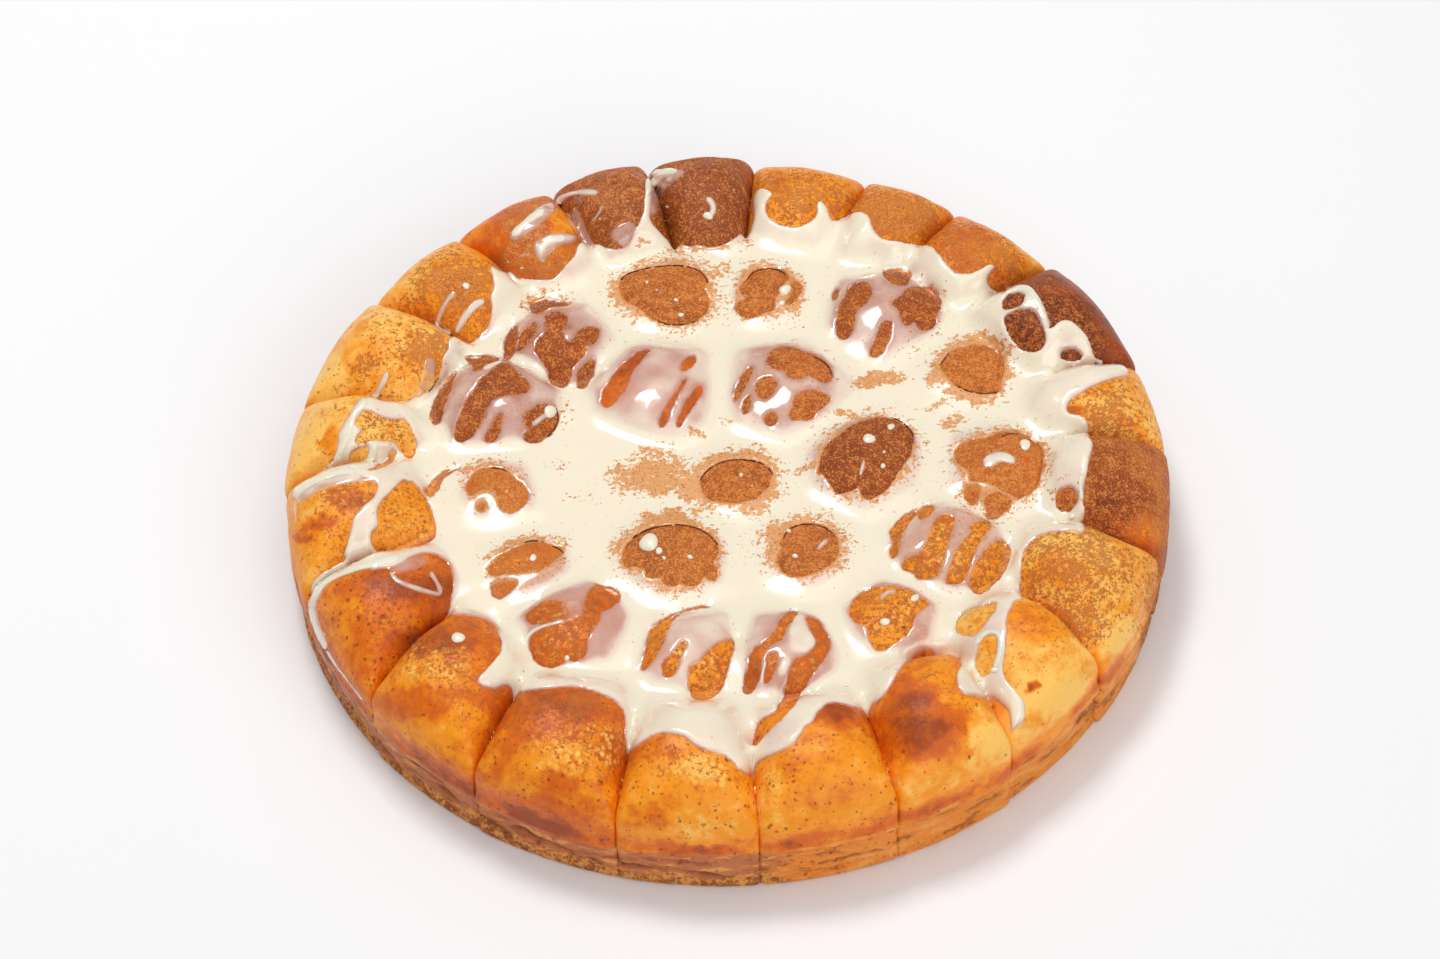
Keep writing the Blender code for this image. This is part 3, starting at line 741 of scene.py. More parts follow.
# Everything below is placed on the bread where the photograph shows it, in pixels of the photograph:
# the edge of the pour, counter-clockwise from its front tongue
POUR = (
    751, 776, 754, 767, 760, 760, 775, 755, 785, 750, 796, 743, 804, 733, 806, 727, 812, 724, 817, 715,
    825, 705, 835, 702, 845, 705, 855, 709, 865, 710, 871, 706, 885, 696, 892, 684, 897, 674, 905, 664,
    908, 656, 920, 648, 940, 646, 955, 647, 963, 653, 961, 667, 956, 680, 957, 690, 966, 696, 980, 697,
    992, 699, 1002, 704, 1009, 712, 1011, 725, 1011, 735, 1010, 747, 1012, 751, 1016, 746, 1022, 737,
    1026, 727, 1026, 715, 1024, 702, 1017, 692, 1010, 685, 1005, 677, 1004, 667, 1006, 655, 1007, 642,
    1007, 617, 1012, 607, 1015, 601, 1024, 601, 1020, 590, 1020, 580, 1022, 566, 1025, 551, 1032, 540,
    1045, 534, 1060, 532, 1075, 532, 1086, 533, 1084, 522, 1085, 510, 1082, 500, 1084, 485, 1086, 474,
    1090, 458, 1094, 445, 1090, 439, 1089, 427, 1086, 420, 1080, 416, 1070, 414, 1067, 409, 1072, 397,
    1082, 394, 1087, 390, 1097, 384, 1110, 380, 1120, 378, 1128, 375, 1127, 368, 1120, 363, 1105, 361,
    1095, 358, 1092, 347, 1087, 335, 1077, 325, 1067, 320, 1057, 322, 1050, 329, 1047, 324, 1044, 310,
    1037, 295, 1030, 287, 1022, 285, 1012, 288, 1001, 294, 992, 290, 987, 283, 989, 274, 996, 267,
    990, 265, 977, 270, 965, 275, 955, 272, 947, 265, 942, 257, 936, 250, 927, 245, 912, 244, 900, 244,
    887, 241, 877, 235, 871, 226, 869, 217, 864, 214, 855, 212, 847, 216, 840, 221, 832, 222, 829, 214,
    826, 206, 820, 200, 816, 205, 818, 215, 810, 222, 800, 226, 792, 227, 782, 226, 772, 221, 766, 215,
    765, 207, 770, 200, 775, 194, 766, 189, 756, 190, 751, 200, 753, 212, 752, 223, 747, 232, 735, 237,
    722, 245, 710, 247, 700, 244, 690, 246, 677, 245, 665, 240, 660, 232, 652, 222, 650, 210, 651, 199,
    652, 190, 657, 185, 664, 180, 671, 176, 679, 173, 676, 168, 665, 168, 655, 171, 647, 177, 644, 186,
    645, 197, 644, 205, 642, 215, 639, 222, 634, 232, 632, 240, 627, 247, 617, 250, 607, 248, 600, 243,
    590, 244, 580, 243, 575, 250, 574, 258, 566, 264, 561, 271, 553, 279, 540, 280, 522, 280, 512, 272,
    502, 272, 496, 268, 489, 267, 493, 278, 493, 290, 488, 297, 491, 305, 491, 314, 489, 326, 481, 336,
    470, 338, 460, 337, 452, 336, 447, 342, 449, 349, 442, 359, 440, 372, 433, 387, 426, 394, 420, 398,
    410, 400, 400, 402, 385, 402, 378, 400, 372, 398, 366, 396, 358, 408, 350, 421, 343, 434, 340, 447,
    336, 458, 328, 466, 318, 473, 303, 483, 290, 493, 292, 501, 306, 492, 318, 484, 330, 479, 345, 474,
    360, 477, 374, 481, 378, 488, 374, 497, 362, 507, 352, 517, 350, 527, 347, 545, 342, 556, 347, 560,
    332, 567, 317, 577, 310, 587, 306, 600, 320, 602, 321, 589, 327, 581, 340, 576, 360, 571, 375, 569,
    390, 568, 400, 564, 412, 558, 425, 554, 440, 556, 448, 561, 452, 572, 453, 585, 451, 597, 447, 610,
    442, 619, 452, 616, 470, 615, 487, 620, 497, 627, 501, 640, 501, 652, 495, 662, 485, 670, 479, 677,
    477, 684, 485, 689, 495, 690, 507, 685, 513, 690, 513, 697, 530, 691, 545, 689, 560, 687, 575, 687,
    590, 691, 605, 697, 617, 704, 624, 711, 625, 722, 624, 735, 626, 747, 629, 754, 635, 750, 645, 741,
    657, 735, 670, 733, 682, 736, 690, 742, 700, 749, 712, 752, 725, 756, 732, 762, 737, 769, 744, 773,
)
# Where a crown stands out of the pour and its crust is dry
DRY = (
    (619, 280, 630, 274, 650, 269, 675, 265, 695, 268, 706, 274, 709, 281, 701, 287, 709, 296, 709, 307,
     704, 316, 692, 324, 675, 326, 657, 322, 647, 316, 640, 307, 626, 302, 620, 292),
    (746, 280, 752, 271, 767, 268, 785, 270, 790, 279, 782, 286, 779, 291, 775, 300, 775, 310, 765, 312,
     752, 319, 740, 317, 734, 310, 737, 302, 747, 299, 740, 292, 741, 286),
    (789, 282, 796, 281, 802, 285, 801, 294, 795, 300, 791, 306, 784, 305, 786, 301, 792, 296, 794, 289),
    (850, 287, 860, 281, 871, 285, 872, 295, 865, 305, 855, 312, 854, 327, 850, 337, 842, 341, 837, 335,
     836, 320, 840, 305, 845, 295),
    (884, 270, 897, 267, 910, 269, 913, 276, 907, 286, 897, 286, 887, 280, 882, 274),
    (891, 304, 900, 297, 907, 290, 920, 286, 932, 287, 941, 295, 942, 305, 936, 316, 935, 327, 925, 332,
     917, 327, 915, 320, 907, 327, 901, 320, 900, 310),
    (880, 327, 885, 320, 892, 322, 892, 332, 887, 342, 884, 352, 877, 358, 870, 358, 870, 351, 875, 340),
    (836, 290, 839, 292, 836, 302, 832, 301, 832, 295),
    (939, 366, 950, 350, 965, 347, 980, 345, 995, 349, 1004, 355, 1005, 372, 1000, 382, 1001, 392,
     987, 395, 972, 392, 955, 387, 947, 377),
    (511, 327, 517, 326, 519, 332, 515, 345, 514, 355, 507, 361, 503, 359, 504, 345, 507, 335),
    (520, 335, 527, 327, 536, 322, 537, 327, 530, 340, 522, 350, 517, 351, 519, 342),
    (545, 317, 550, 314, 560, 312, 567, 316, 567, 324, 560, 330, 564, 340, 572, 342, 580, 330, 590, 327,
     599, 329, 600, 337, 592, 344, 585, 345, 585, 355, 579, 360, 572, 367, 570, 380, 565, 389, 555, 387,
     547, 380, 550, 372, 542, 360, 535, 352, 536, 342, 545, 335, 549, 327),
    (592, 359, 595, 364, 595, 375, 589, 382, 584, 389, 577, 389, 576, 382, 579, 372, 585, 364),
    (530, 301, 540, 297, 555, 297, 565, 302, 570, 305, 560, 307, 547, 307, 540, 315, 532, 312, 530, 306),
    (651, 349, 646, 355, 637, 365, 631, 375, 626, 387, 617, 400, 609, 408, 602, 406, 602, 397, 607, 385,
     616, 372, 627, 360, 640, 352),
    (682, 364, 690, 356, 696, 357, 695, 364, 687, 370, 681, 372),
    (685, 379, 687, 380, 677, 397, 670, 412, 665, 427, 659, 428, 661, 417, 670, 402, 677, 390),
    (697, 387, 702, 386, 703, 392, 695, 405, 687, 415, 682, 426, 677, 429, 676, 422, 682, 412, 687, 400),
    (751, 366, 754, 369, 747, 382, 741, 395, 736, 402, 734, 401, 736, 390, 742, 375),
    (766, 360, 772, 350, 785, 346, 800, 350, 812, 355, 825, 360, 832, 370, 832, 380, 825, 384, 817, 380,
     810, 375, 800, 380, 790, 379, 782, 370, 770, 367),
    (765, 377, 775, 379, 777, 386, 771, 395, 764, 400, 759, 396, 755, 387, 759, 381),
    (747, 397, 751, 396, 750, 410, 745, 415, 742, 414, 742, 405),
    (770, 412, 775, 415, 777, 420, 774, 425, 769, 426, 765, 423, 763, 418, 766, 414),
    (795, 395, 805, 391, 815, 390, 825, 394, 831, 401, 825, 406, 817, 412, 810, 421, 802, 420, 790, 420,
     789, 415, 794, 406),
    (455, 370, 458, 371, 449, 390, 445, 405, 441, 422, 437, 426, 431, 424, 429, 415, 434, 400, 442, 382),
    (500, 362, 512, 366, 522, 377, 532, 387, 525, 394, 510, 394, 496, 397, 486, 406, 482, 420, 477, 430,
     469, 440, 461, 443, 455, 440, 455, 430, 461, 415, 466, 402, 475, 390, 482, 377, 492, 371),
    (499, 414, 502, 416, 499, 426, 501, 431, 496, 440, 491, 444, 485, 441, 486, 434, 492, 426),
    (526, 415, 536, 406, 547, 404, 555, 410, 559, 419, 556, 430, 547, 439, 535, 444, 526, 442, 524, 435,
     530, 431, 525, 425),
    (462, 356, 475, 354, 492, 357, 501, 360, 487, 364, 480, 370, 472, 372, 475, 366, 465, 360),
    (699, 482, 706, 471, 718, 463, 735, 459, 757, 461, 770, 468, 772, 477, 767, 490, 755, 499, 732, 504,
     715, 502, 704, 496),
    (817, 475, 822, 450, 832, 440, 850, 427, 870, 419, 890, 417, 907, 426, 915, 437, 911, 455, 900, 470,
     887, 490, 875, 499, 864, 500, 861, 492, 860, 485, 850, 492, 837, 496, 832, 486, 822, 472),
    (965, 442, 977, 439, 990, 437, 1000, 432, 1015, 432, 1032, 437, 1042, 445, 1044, 462, 1039, 482,
     1032, 494, 1017, 500, 1010, 494, 1000, 490, 992, 482, 970, 482, 972, 475, 965, 467, 955, 460, 955, 450),
    (965, 486, 977, 485, 979, 495, 975, 505, 969, 505, 964, 497),
    (986, 495, 1000, 491, 1011, 499, 1011, 507, 1002, 515, 992, 521, 986, 517, 987, 510, 984, 502),
    (467, 482, 475, 472, 487, 467, 505, 469, 510, 475, 520, 482, 529, 492, 529, 500, 520, 510, 512, 514,
     502, 512, 500, 505, 497, 492, 487, 487, 477, 492, 470, 497, 466, 491),
    (475, 507, 480, 503, 485, 506, 485, 511, 479, 512),
    (422, 490, 432, 481, 440, 472, 447, 469, 464, 467, 454, 472, 445, 476, 441, 486, 435, 495, 429, 499),
    (486, 572, 492, 562, 507, 552, 522, 545, 540, 541, 552, 545, 564, 550, 564, 554, 555, 559, 547, 566,
     535, 571, 520, 572, 505, 574, 492, 577),
    (490, 587, 500, 582, 515, 581, 516, 586, 507, 597, 500, 599, 492, 597, 490, 592),
    (622, 560, 625, 547, 635, 536, 650, 527, 670, 525, 687, 525, 705, 530, 717, 542, 719, 555, 712, 562,
     719, 575, 714, 581, 706, 579, 704, 575, 700, 585, 687, 587, 680, 582, 675, 587, 665, 585, 660, 575,
     652, 579, 646, 576, 646, 570, 635, 566, 626, 568),
    (776, 560, 782, 550, 780, 542, 787, 530, 800, 524, 817, 524, 830, 530, 839, 540, 839, 555, 830, 565,
     817, 572, 800, 578, 785, 575, 780, 567),
    (892, 525, 907, 512, 920, 507, 917, 515, 905, 527, 900, 540, 897, 557, 892, 560, 889, 555, 894, 542,
     889, 533),
    (920, 506, 932, 505, 935, 510, 927, 519, 920, 520, 917, 516),
    (932, 530, 937, 515, 950, 515, 955, 520, 950, 535, 945, 550, 942, 565, 937, 577, 927, 580, 915, 579,
     914, 572, 905, 571, 901, 566, 907, 559, 920, 555, 927, 542),
    (970, 525, 987, 520, 991, 525, 985, 535, 977, 545, 972, 560, 967, 575, 960, 584, 947, 584, 946, 579,
     952, 565, 957, 550, 965, 540, 972, 535),
    (997, 541, 1007, 541, 1012, 550, 1011, 560, 1002, 575, 992, 587, 982, 594, 974, 594, 969, 586,
     972, 575, 977, 562, 987, 550),
    (524, 617, 535, 607, 547, 601, 560, 602, 562, 612, 552, 620, 540, 624, 530, 625),
    (585, 605, 590, 587, 605, 584, 620, 590, 622, 600, 612, 607, 600, 612, 597, 625, 590, 632, 586, 642,
     585, 657, 575, 662, 567, 657, 562, 665, 550, 669, 537, 665, 529, 652, 530, 640, 540, 629, 560, 624,
     575, 620, 585, 615),
    (641, 670, 646, 657, 647, 640, 652, 627, 665, 617, 680, 610, 700, 605, 715, 606, 695, 609, 677, 615,
     667, 630, 665, 637, 660, 650, 652, 662, 646, 670),
    (682, 641, 687, 644, 680, 657, 677, 670, 672, 677, 664, 677, 662, 667, 665, 660, 675, 652),
    (732, 640, 735, 645, 730, 660, 727, 675, 720, 692, 710, 700, 697, 701, 689, 695, 689, 677, 691, 665,
     702, 662, 705, 655, 715, 645),
    (792, 610, 800, 612, 785, 630, 782, 640, 775, 642, 767, 647, 761, 657, 760, 675, 754, 692, 747, 695,
     742, 691, 744, 678, 749, 665, 750, 652, 762, 645, 775, 632, 780, 620),
    (767, 655, 777, 652, 777, 665, 772, 677, 767, 685, 764, 683, 765, 670),
    (804, 617, 817, 619, 825, 630, 831, 645, 827, 655, 820, 665, 810, 677, 805, 687, 797, 700, 790, 712,
     780, 715, 777, 707, 785, 695, 787, 682, 792, 665, 800, 652, 817, 642, 810, 630),
    (792, 707, 785, 717, 775, 725, 767, 732, 760, 742, 755, 747, 752, 744, 755, 732, 760, 722, 770, 715),
    (849, 610, 855, 597, 870, 589, 890, 586, 907, 590, 920, 597, 930, 605, 917, 612, 912, 625, 907, 635,
     895, 642, 885, 651, 875, 650, 870, 642, 867, 625, 860, 625, 852, 620),
    (1004, 300, 1010, 294, 1020, 293, 1025, 297, 1022, 305, 1012, 309, 1004, 310, 1002, 305),
    (1005, 316, 1017, 310, 1032, 310, 1037, 317, 1044, 330, 1046, 342, 1041, 352, 1027, 354, 1017, 347,
     1010, 337, 1005, 327),
    (1060, 355, 1067, 349, 1077, 350, 1084, 359, 1075, 362, 1062, 361),
    (1062, 489, 1072, 489, 1077, 495, 1076, 505, 1070, 512, 1060, 511, 1055, 505, 1056, 496),
    (957, 620, 965, 614, 982, 606, 997, 602, 995, 610, 987, 620, 982, 627, 977, 634, 967, 637, 960, 636,
     954, 630),
    (980, 642, 986, 636, 996, 635, 997, 642, 996, 655, 992, 665, 989, 675, 982, 677, 977, 670, 976, 660,
     979, 652),
    (400, 482, 410, 481, 420, 490, 427, 500, 432, 512, 437, 527, 436, 537, 420, 547, 405, 549, 387, 552,
     377, 554, 372, 547, 371, 537, 374, 532, 380, 525, 377, 515, 379, 505, 387, 497, 397, 487),
    (357, 412, 367, 410, 380, 416, 392, 422, 405, 419, 410, 427, 416, 440, 417, 452, 411, 460, 402, 455,
     397, 442, 390, 442, 375, 440, 366, 442, 355, 447, 357, 435, 365, 430, 352, 425),
    (352, 452, 365, 445, 370, 450, 366, 460, 355, 465, 349, 462),
    (377, 467, 387, 460, 392, 450, 397, 454, 390, 464, 380, 470, 367, 472),
)
# Crowns that have only a thin film over them: middle, half width, half height and how thin
THIN = (
    (888, 312, 60, 48, 1), (552, 345, 52, 48, 1.5), (654, 388, 56, 44, 0.8), (785, 385, 52, 44, 1),
    (495, 400, 68, 47, 1.5), (858, 440, 32, 26, 1), (1000, 470, 44, 34, 0.7), (495, 490, 32, 22, 0.7),
    (525, 566, 38, 24, 0.6), (952, 552, 64, 46, 0.9), (577, 628, 56, 45, 1.9), (690, 655, 52, 52, 0.5),
    (790, 658, 47, 54, 1), (902, 622, 62, 38, 0.9), (1030, 325, 28, 32, 0.9), (982, 642, 27, 38, 0.9),
    (402, 517, 40, 38, 0.6), (385, 440, 36, 32, 0.7), (1068, 496, 18, 32, 0.9), (1070, 352, 18, 14, 0.8),
    (360, 527, 16, 36, 0.8), (430, 378, 14, 26, 0.9), (775, 728, 22, 18, 0.8), (976, 690, 28, 16, 0.8),
    (1012, 738, 14, 24, 0.5),
)
# Thin films outside the pour: thickness, then the outline. The thickest covers a dry crown too
FILMS = (
    (0.85, 801, 611, 806, 621, 812, 633, 818, 642, 810, 653, 801, 658, 794, 658, 789, 669, 782, 681, 775, 676,
     781, 662, 786, 646, 789, 630, 794, 617),
    (0.34, 866, 680, 870, 668, 882, 661, 900, 655, 905, 662, 898, 672, 892, 684, 884, 698, 874, 703, 868, 697),
    (0.22, 618, 225, 628, 220, 637, 224, 637, 240, 628, 249, 615, 245, 606, 234),
    (0.30, 572, 206, 580, 210, 584, 222, 590, 234, 596, 244, 586, 246, 576, 236, 571, 222),
    (0.42, 548, 202, 558, 206, 552, 216, 538, 228, 524, 238, 512, 242, 508, 236, 520, 222, 534, 210),
    (0.46, 534, 240, 548, 234, 564, 232, 580, 236, 574, 243, 562, 245, 552, 252, 545, 263, 538, 264, 533, 252),
    (0.30, 645, 212, 644, 194, 650, 180, 662, 172, 680, 168, 686, 174, 674, 182, 664, 192, 660, 206, 656, 218),
    (0.24, 387, 568, 400, 556, 425, 554, 430, 562, 420, 570, 405, 572, 392, 575),
    (0.24, 424, 360, 432, 355, 437, 362, 437, 375, 430, 387, 420, 397, 412, 400, 415, 392, 420, 385, 422, 372),
    (0.24, 374, 441, 387, 444, 389, 452, 382, 461, 372, 467, 355, 470),
    (0.24, 292, 503, 300, 506, 297, 520, 298, 545, 301, 562, 293, 562, 289, 545, 289, 520),
    (0.24, 1062, 440, 1085, 440, 1089, 455, 1087, 475, 1083, 500, 1084, 512, 1068, 512, 1075, 490, 1068, 470),
    (0.62, 292, 497, 305, 482, 325, 472, 345, 464, 372, 466, 392, 474, 384, 482, 352, 482, 322, 490, 300, 504),
    (0.62, 440, 550, 405, 560, 370, 568, 340, 577, 324, 588, 318, 606, 306, 606, 308, 590, 322, 574, 360, 560,
     400, 548, 436, 542),
)
# Threads and streaks: full width, then the middle line
THREADS = (
    (7, 648, 196, 650, 187, 656, 179, 665, 173, 676, 170),
    (7, 706, 197, 711, 201, 714, 208, 712, 214, 708, 216),
    (6, 556, 204, 563, 197, 573, 193, 586, 192, 599, 193),
    (3, 566, 212, 570, 219, 574, 227),
    (3, 592, 222, 598, 215, 603, 205),
    (2.5, 518, 258, 524, 254, 531, 255),
    (7, 545, 210, 533, 216, 525, 223, 517, 231, 512, 236),
    (6, 566, 238, 552, 239, 543, 245, 540, 254),
    (5, 455, 291, 446, 302, 440, 314, 436, 327, 442, 331, 452, 333),
    (8, 485, 300, 477, 304, 466, 314, 459, 327, 456, 334),
    (6, 388, 371, 383, 382, 378, 393, 372, 400),
    (9, 366, 398, 357, 410, 350, 422, 343, 435, 341, 447, 338, 457, 337, 465),
    (6, 374, 442, 376, 450, 372, 460, 362, 465, 347, 467),
    (6, 293, 494, 305, 485, 322, 477, 340, 471, 356, 471),
    (7, 400, 556, 375, 563, 350, 569, 332, 576, 319, 586, 313, 600, 312, 612),
    (8, 311, 605, 313, 618, 319, 634, 326, 650),
    (4, 326, 650, 338, 668, 350, 682, 364, 701),
    (4.5, 390, 572, 397, 581, 410, 586, 425, 591, 440, 595, 441, 591, 437, 582, 432, 575, 430, 571),
    (5, 975, 645, 980, 637, 989, 631, 997, 632, 1001, 640, 1000, 650, 997, 660, 994, 668),
    (6, 1005, 293, 1013, 288, 1023, 286, 1031, 290, 1038, 300, 1044, 313, 1049, 328),
    (4, 1082, 472, 1080, 480, 1081, 492, 1082, 500),
    (4, 482, 369, 492, 365, 502, 361),
    (5, 532, 426, 541, 418, 550, 412),
    (4, 523, 642, 530, 633, 540, 627, 552, 624, 565, 620),
    (4, 484, 497, 490, 502, 490, 510),
    (11, 984, 467, 990, 460, 1000, 456, 1011, 459, 1015, 464),
    (5, 817, 550, 823, 543, 829, 539),
    (5, 864, 459, 863, 466, 860, 476),
    (5, 880, 600, 884, 594, 892, 591, 897, 592),
    (3, 766, 660, 763, 672, 761, 684),
)
# Drops: middle and radius
DROPS = (
    (458, 638, 6.5), (785, 290, 6), (649, 543, 10), (659, 551, 4), (664, 558, 2.5), (690, 557, 3),
    (869, 439, 6), (891, 427, 3.7), (884, 452, 2), (883, 466, 3), (1025, 445, 6), (789, 531, 2.5),
    (795, 556, 3), (885, 622, 5), (915, 598, 4.5), (533, 558, 4), (741, 475, 2.5), (647, 282, 2),
    (676, 300, 2.5), (681, 315, 3), (1072, 517, 3.5), (567, 658, 3), (550, 412, 7), (466, 286, 4),
    (708, 216, 5), (994, 670, 3.5), (782, 303, 3), (657, 290, 1.5), (700, 300, 1.5), (752, 486, 1.5),
    # The beads in this row, on the back rolls, stand where the glaze glints: partly drops of icing, partly painted
    # highlight
    (667, 207, 2), (666, 221, 1.6), (522, 268, 1.8), (734, 190, 1.4), (508, 262, 1.6), (600, 219, 1.6),
)
# Cinnamon that floats on the icing: rings of it round the dusted crowns, and drifts
FLOATING = (
    (667, 296, 66, 44, 0.50), (770, 294, 46, 40, 0.42), (972, 372, 52, 38, 0.46), (738, 482, 58, 36, 0.62),
    (668, 552, 64, 46, 0.46), (800, 548, 60, 42, 0.50), (525, 560, 48, 32, 0.32), (492, 484, 46, 32, 0.30),
    (1000, 470, 62, 54, 0.34), (866, 458, 66, 56, 0.32), (888, 312, 70, 60, 0.26), (952, 552, 74, 56, 0.22),
    (650, 478, 52, 24, 1.05), (692, 486, 26, 18, 1.00), (620, 470, 12, 7, 0.70), (668, 460, 12, 6, 0.80),
    (770, 536, 18, 16, 0.75), (668, 520, 34, 9, 0.66), (720, 546, 10, 8, 0.60), (618, 548, 10, 9, 0.60),
    (700, 250, 40, 8, 0.66), (740, 244, 10, 8, 0.60), (640, 246, 12, 7, 0.55), (620, 292, 12, 12, 0.55),
    (720, 272, 9, 9, 0.60), (880, 382, 32, 10, 1.00), (943, 300, 6, 20, 0.50), (938, 380, 12, 8, 0.75),
    (968, 398, 34, 6, 0.85), (972, 341, 26, 5, 0.55), (1010, 378, 8, 8, 0.60), (935, 408, 16, 5, 0.80),
    (952, 421, 13, 8, 0.90), (845, 412, 18, 6, 0.70), (805, 466, 24, 10, 0.52), (693, 431, 12, 8, 0.85),
    (650, 452, 24, 9, 0.90), (728, 426, 16, 5, 0.45), (585, 500, 26, 8, 0.42), (563, 412, 12, 18, 0.42),
    (563, 538, 12, 8, 0.55), (462, 342, 14, 5, 0.55), (915, 352, 10, 7, 0.50), (636, 328, 10, 6, 0.50),
    (760, 262, 34, 6, 0.50), (760, 512, 26, 7, 0.66), (700, 510, 22, 7, 0.62), (850, 545, 6, 30, 0.40),
    (680, 590, 34, 6, 0.42), (560, 466, 20, 8, 0.36), (925, 440, 10, 16, 0.42),
)
# Crowns whose cinnamon has run into the icing round them: middle, half width, half height, strength
HALOS = (
    (667, 296, 80, 56, 1.0), (770, 294, 56, 48, 0.8), (972, 372, 66, 50, 1.0), (738, 482, 76, 50, 1.0),
    (668, 552, 78, 60, 1.0), (800, 548, 70, 54, 1.0), (525, 560, 60, 42, 0.7), (492, 484, 56, 42, 0.6),
    (1000, 470, 80, 66, 0.8), (866, 458, 84, 70, 0.7), (785, 385, 76, 60, 0.5), (550, 300, 50, 24, 0.8),
    (495, 400, 84, 60, 0.35), (552, 345, 70, 64, 0.3),
)
# Lines of painted shadow in the cracks where the dusted skin of a crown lifts off the icing round it
CRACK_LINES = (
    (619, 282, 626, 274, 640, 270, 652, 267, 675, 265, 692, 267, 701, 272, 706, 278, 709, 284),
    (655, 320, 668, 325, 685, 325, 700, 320),
    (746, 282, 752, 272, 766, 268, 780, 270, 787, 276),
    (699, 482, 706, 471, 718, 463, 735, 459, 757, 461, 768, 467, 773, 475),
    (631, 539, 645, 530, 662, 526, 680, 524, 700, 529, 712, 537, 719, 546),
    (783, 540, 787, 530, 800, 524, 816, 524, 828, 529, 833, 534),
    (523, 543, 532, 540, 545, 542),
    (551, 546, 558, 548, 564, 553),
    (490, 468, 500, 468, 508, 472),
    (1000, 438, 1008, 433, 1020, 435),
    (939, 366, 943, 361, 950, 351),
    (955, 385, 970, 392, 985, 394, 1000, 392),
    (812, 356, 822, 360, 830, 368, 832, 376),
    (893, 418, 903, 422, 911, 431, 915, 438),
    (556, 407, 559, 420, 554, 430, 546, 438),
    (439, 377, 431, 390, 426, 394),
)

# The pool: its level and radius, the level that it runs down to at the wall, and its slow waves
POOL_LEVEL = 31.0
POOL_RADIUS = 98.0
LIP_LEVEL = 24.8
POOL_WAVES = ((0.20, 21.0, 31), (0.12, 8.5, 32), (0.03, 3.4, 33))
# How thick the icing is on the rim, on the crowns and where it is thin, and from what thickness a film outside
# the pour hides a dry crown; then how its edges end and how far they wander
RIM_COAT = 1.0
CROWN_COAT = 0.55
CROWN_FILM = 0.40
COVERING = 0.7
LIP_WIDTH = 2.2
FILLET = 2.6
HALO_REACH = 3.0
EDGE_REACH = 124.0
EDGE_WOBBLE = ((0.9, 2.6, 34), (0.7, 5.5, 35))
# Values that mean none of it
NO_FILM = -1.5
NOT_DRY = -9.0
NO_ICING = -5.0
# The square tables that it is worked out on, and the photograph's scale
CELL = 0.6
GRID_REACH = 125.4
FIELD_CELL = 0.4
FIELD_REACH = 130.0
PIXELS_PER_MM = 3.5
ROLL_REACH = 30.0
HIDDEN_BEHIND = 7.0
SIGHT_CELL = 4
LEVELLING = 30
CORNER_CUTS = 2
# The sheet that is made of it: how deep it goes into the crust, how thin it may get, and how flat cells merge
SUNK = 1.2
TUCKED = 0.7
SHEET_LEAST = 0.3
FLAT_ENOUGH = 0.012


def smooth_loop(pixels):
    """A traced outline with its corners cut twice."""
    loop = np.array(pixels, float).reshape(-1, 2)
    for _ in range(CORNER_CUTS):
        after = np.roll(loop, -1, 0)
        loop = np.stack([loop * 0.75 + after * 0.25, loop * 0.25 + after * 0.75], 1).reshape(-1, 2)
    return loop


def exactly_inside(pixels, loop):
    """How many pixels inside a closed outline each point is, measured to every side of it."""
    after = np.roll(loop, -1, 0)
    edge = after - loop
    squared = (edge ** 2).sum(1) + 1e-9
    result = np.zeros(len(pixels))
    for part in np.array_split(np.arange(len(pixels)), 1 + len(pixels) * len(loop) // 4000000):
        x, y = pixels[part, 0][:, None], pixels[part, 1][:, None]
        away_x, away_y = x - loop[:, 0], y - loop[:, 1]
        way = np.clip((away_x * edge[:, 0] + away_y * edge[:, 1]) / squared, 0, 1)
        gap = np.sqrt(((away_x - way * edge[:, 0]) ** 2 + (away_y - way * edge[:, 1]) ** 2).min(1))
        above = (loop[:, 1] > y) != (after[:, 1] > y)
        crossing = loop[:, 0] + away_y * edge[:, 0] / np.where(edge[:, 1] == 0, 1e-9, edge[:, 1])
        result[part] = np.where((above & (x < crossing)).sum(1) % 2 == 1, gap, -gap)
    return result


def inside_by(pixels, loop, coarse=12.0):
    """How many pixels inside a closed outline each point is, negative outside; exact only near it."""
    low = loop.min(0) - 2 * coarse
    columns, rows = np.ceil((loop.max(0) - low) / coarse).astype(int) + 3
    node_x, node_y = np.meshgrid(low[0] + coarse * np.arange(columns), low[1] + coarse * np.arange(rows))
    nodes = exactly_inside(np.stack([node_x.ravel(), node_y.ravel()], -1), loop).reshape(rows, columns)
    place = (pixels - low) / coarse
    within = np.all((place >= 0) & (place < (columns - 1.01, rows - 1.01)), axis=1)
    result = np.full(len(pixels), -1e3)
    cell = place[within].astype(int)
    result[within] = nodes[cell[:, 1], cell[:, 0]]
    near = np.flatnonzero(np.abs(result) < 2.2 * coarse)
    result[near] = exactly_inside(pixels[near], loop)
    return result


def crust_field(x, y):
    """Height of the bread above every point, the roll that it belongs to and how far out on it."""
    height, owner, share = np.full(x.shape, -1.0), np.full(x.shape, -1), np.ones(x.shape)
    height[np.hypot(x, y) < EDGE_REACH] = SHOULDER
    for index, roll in enumerate(rolls):
        near = np.hypot(x - roll.x, y - roll.y) < ROLL_REACH
        found = roll.share_at(x[near], y[near])
        top = np.where(found < 0.9999, roll.crust(found) + crust_relief(x[near], y[near], found), -1.0)
        better = top > height[near]
        height[near] = np.where(better, top, height[near])
        owner[near] = np.where(better | (owner[near] < 0) & (found < 0.9999), index, owner[near])
        share[near] = np.where(better, found, share[near])
    return height, owner, share


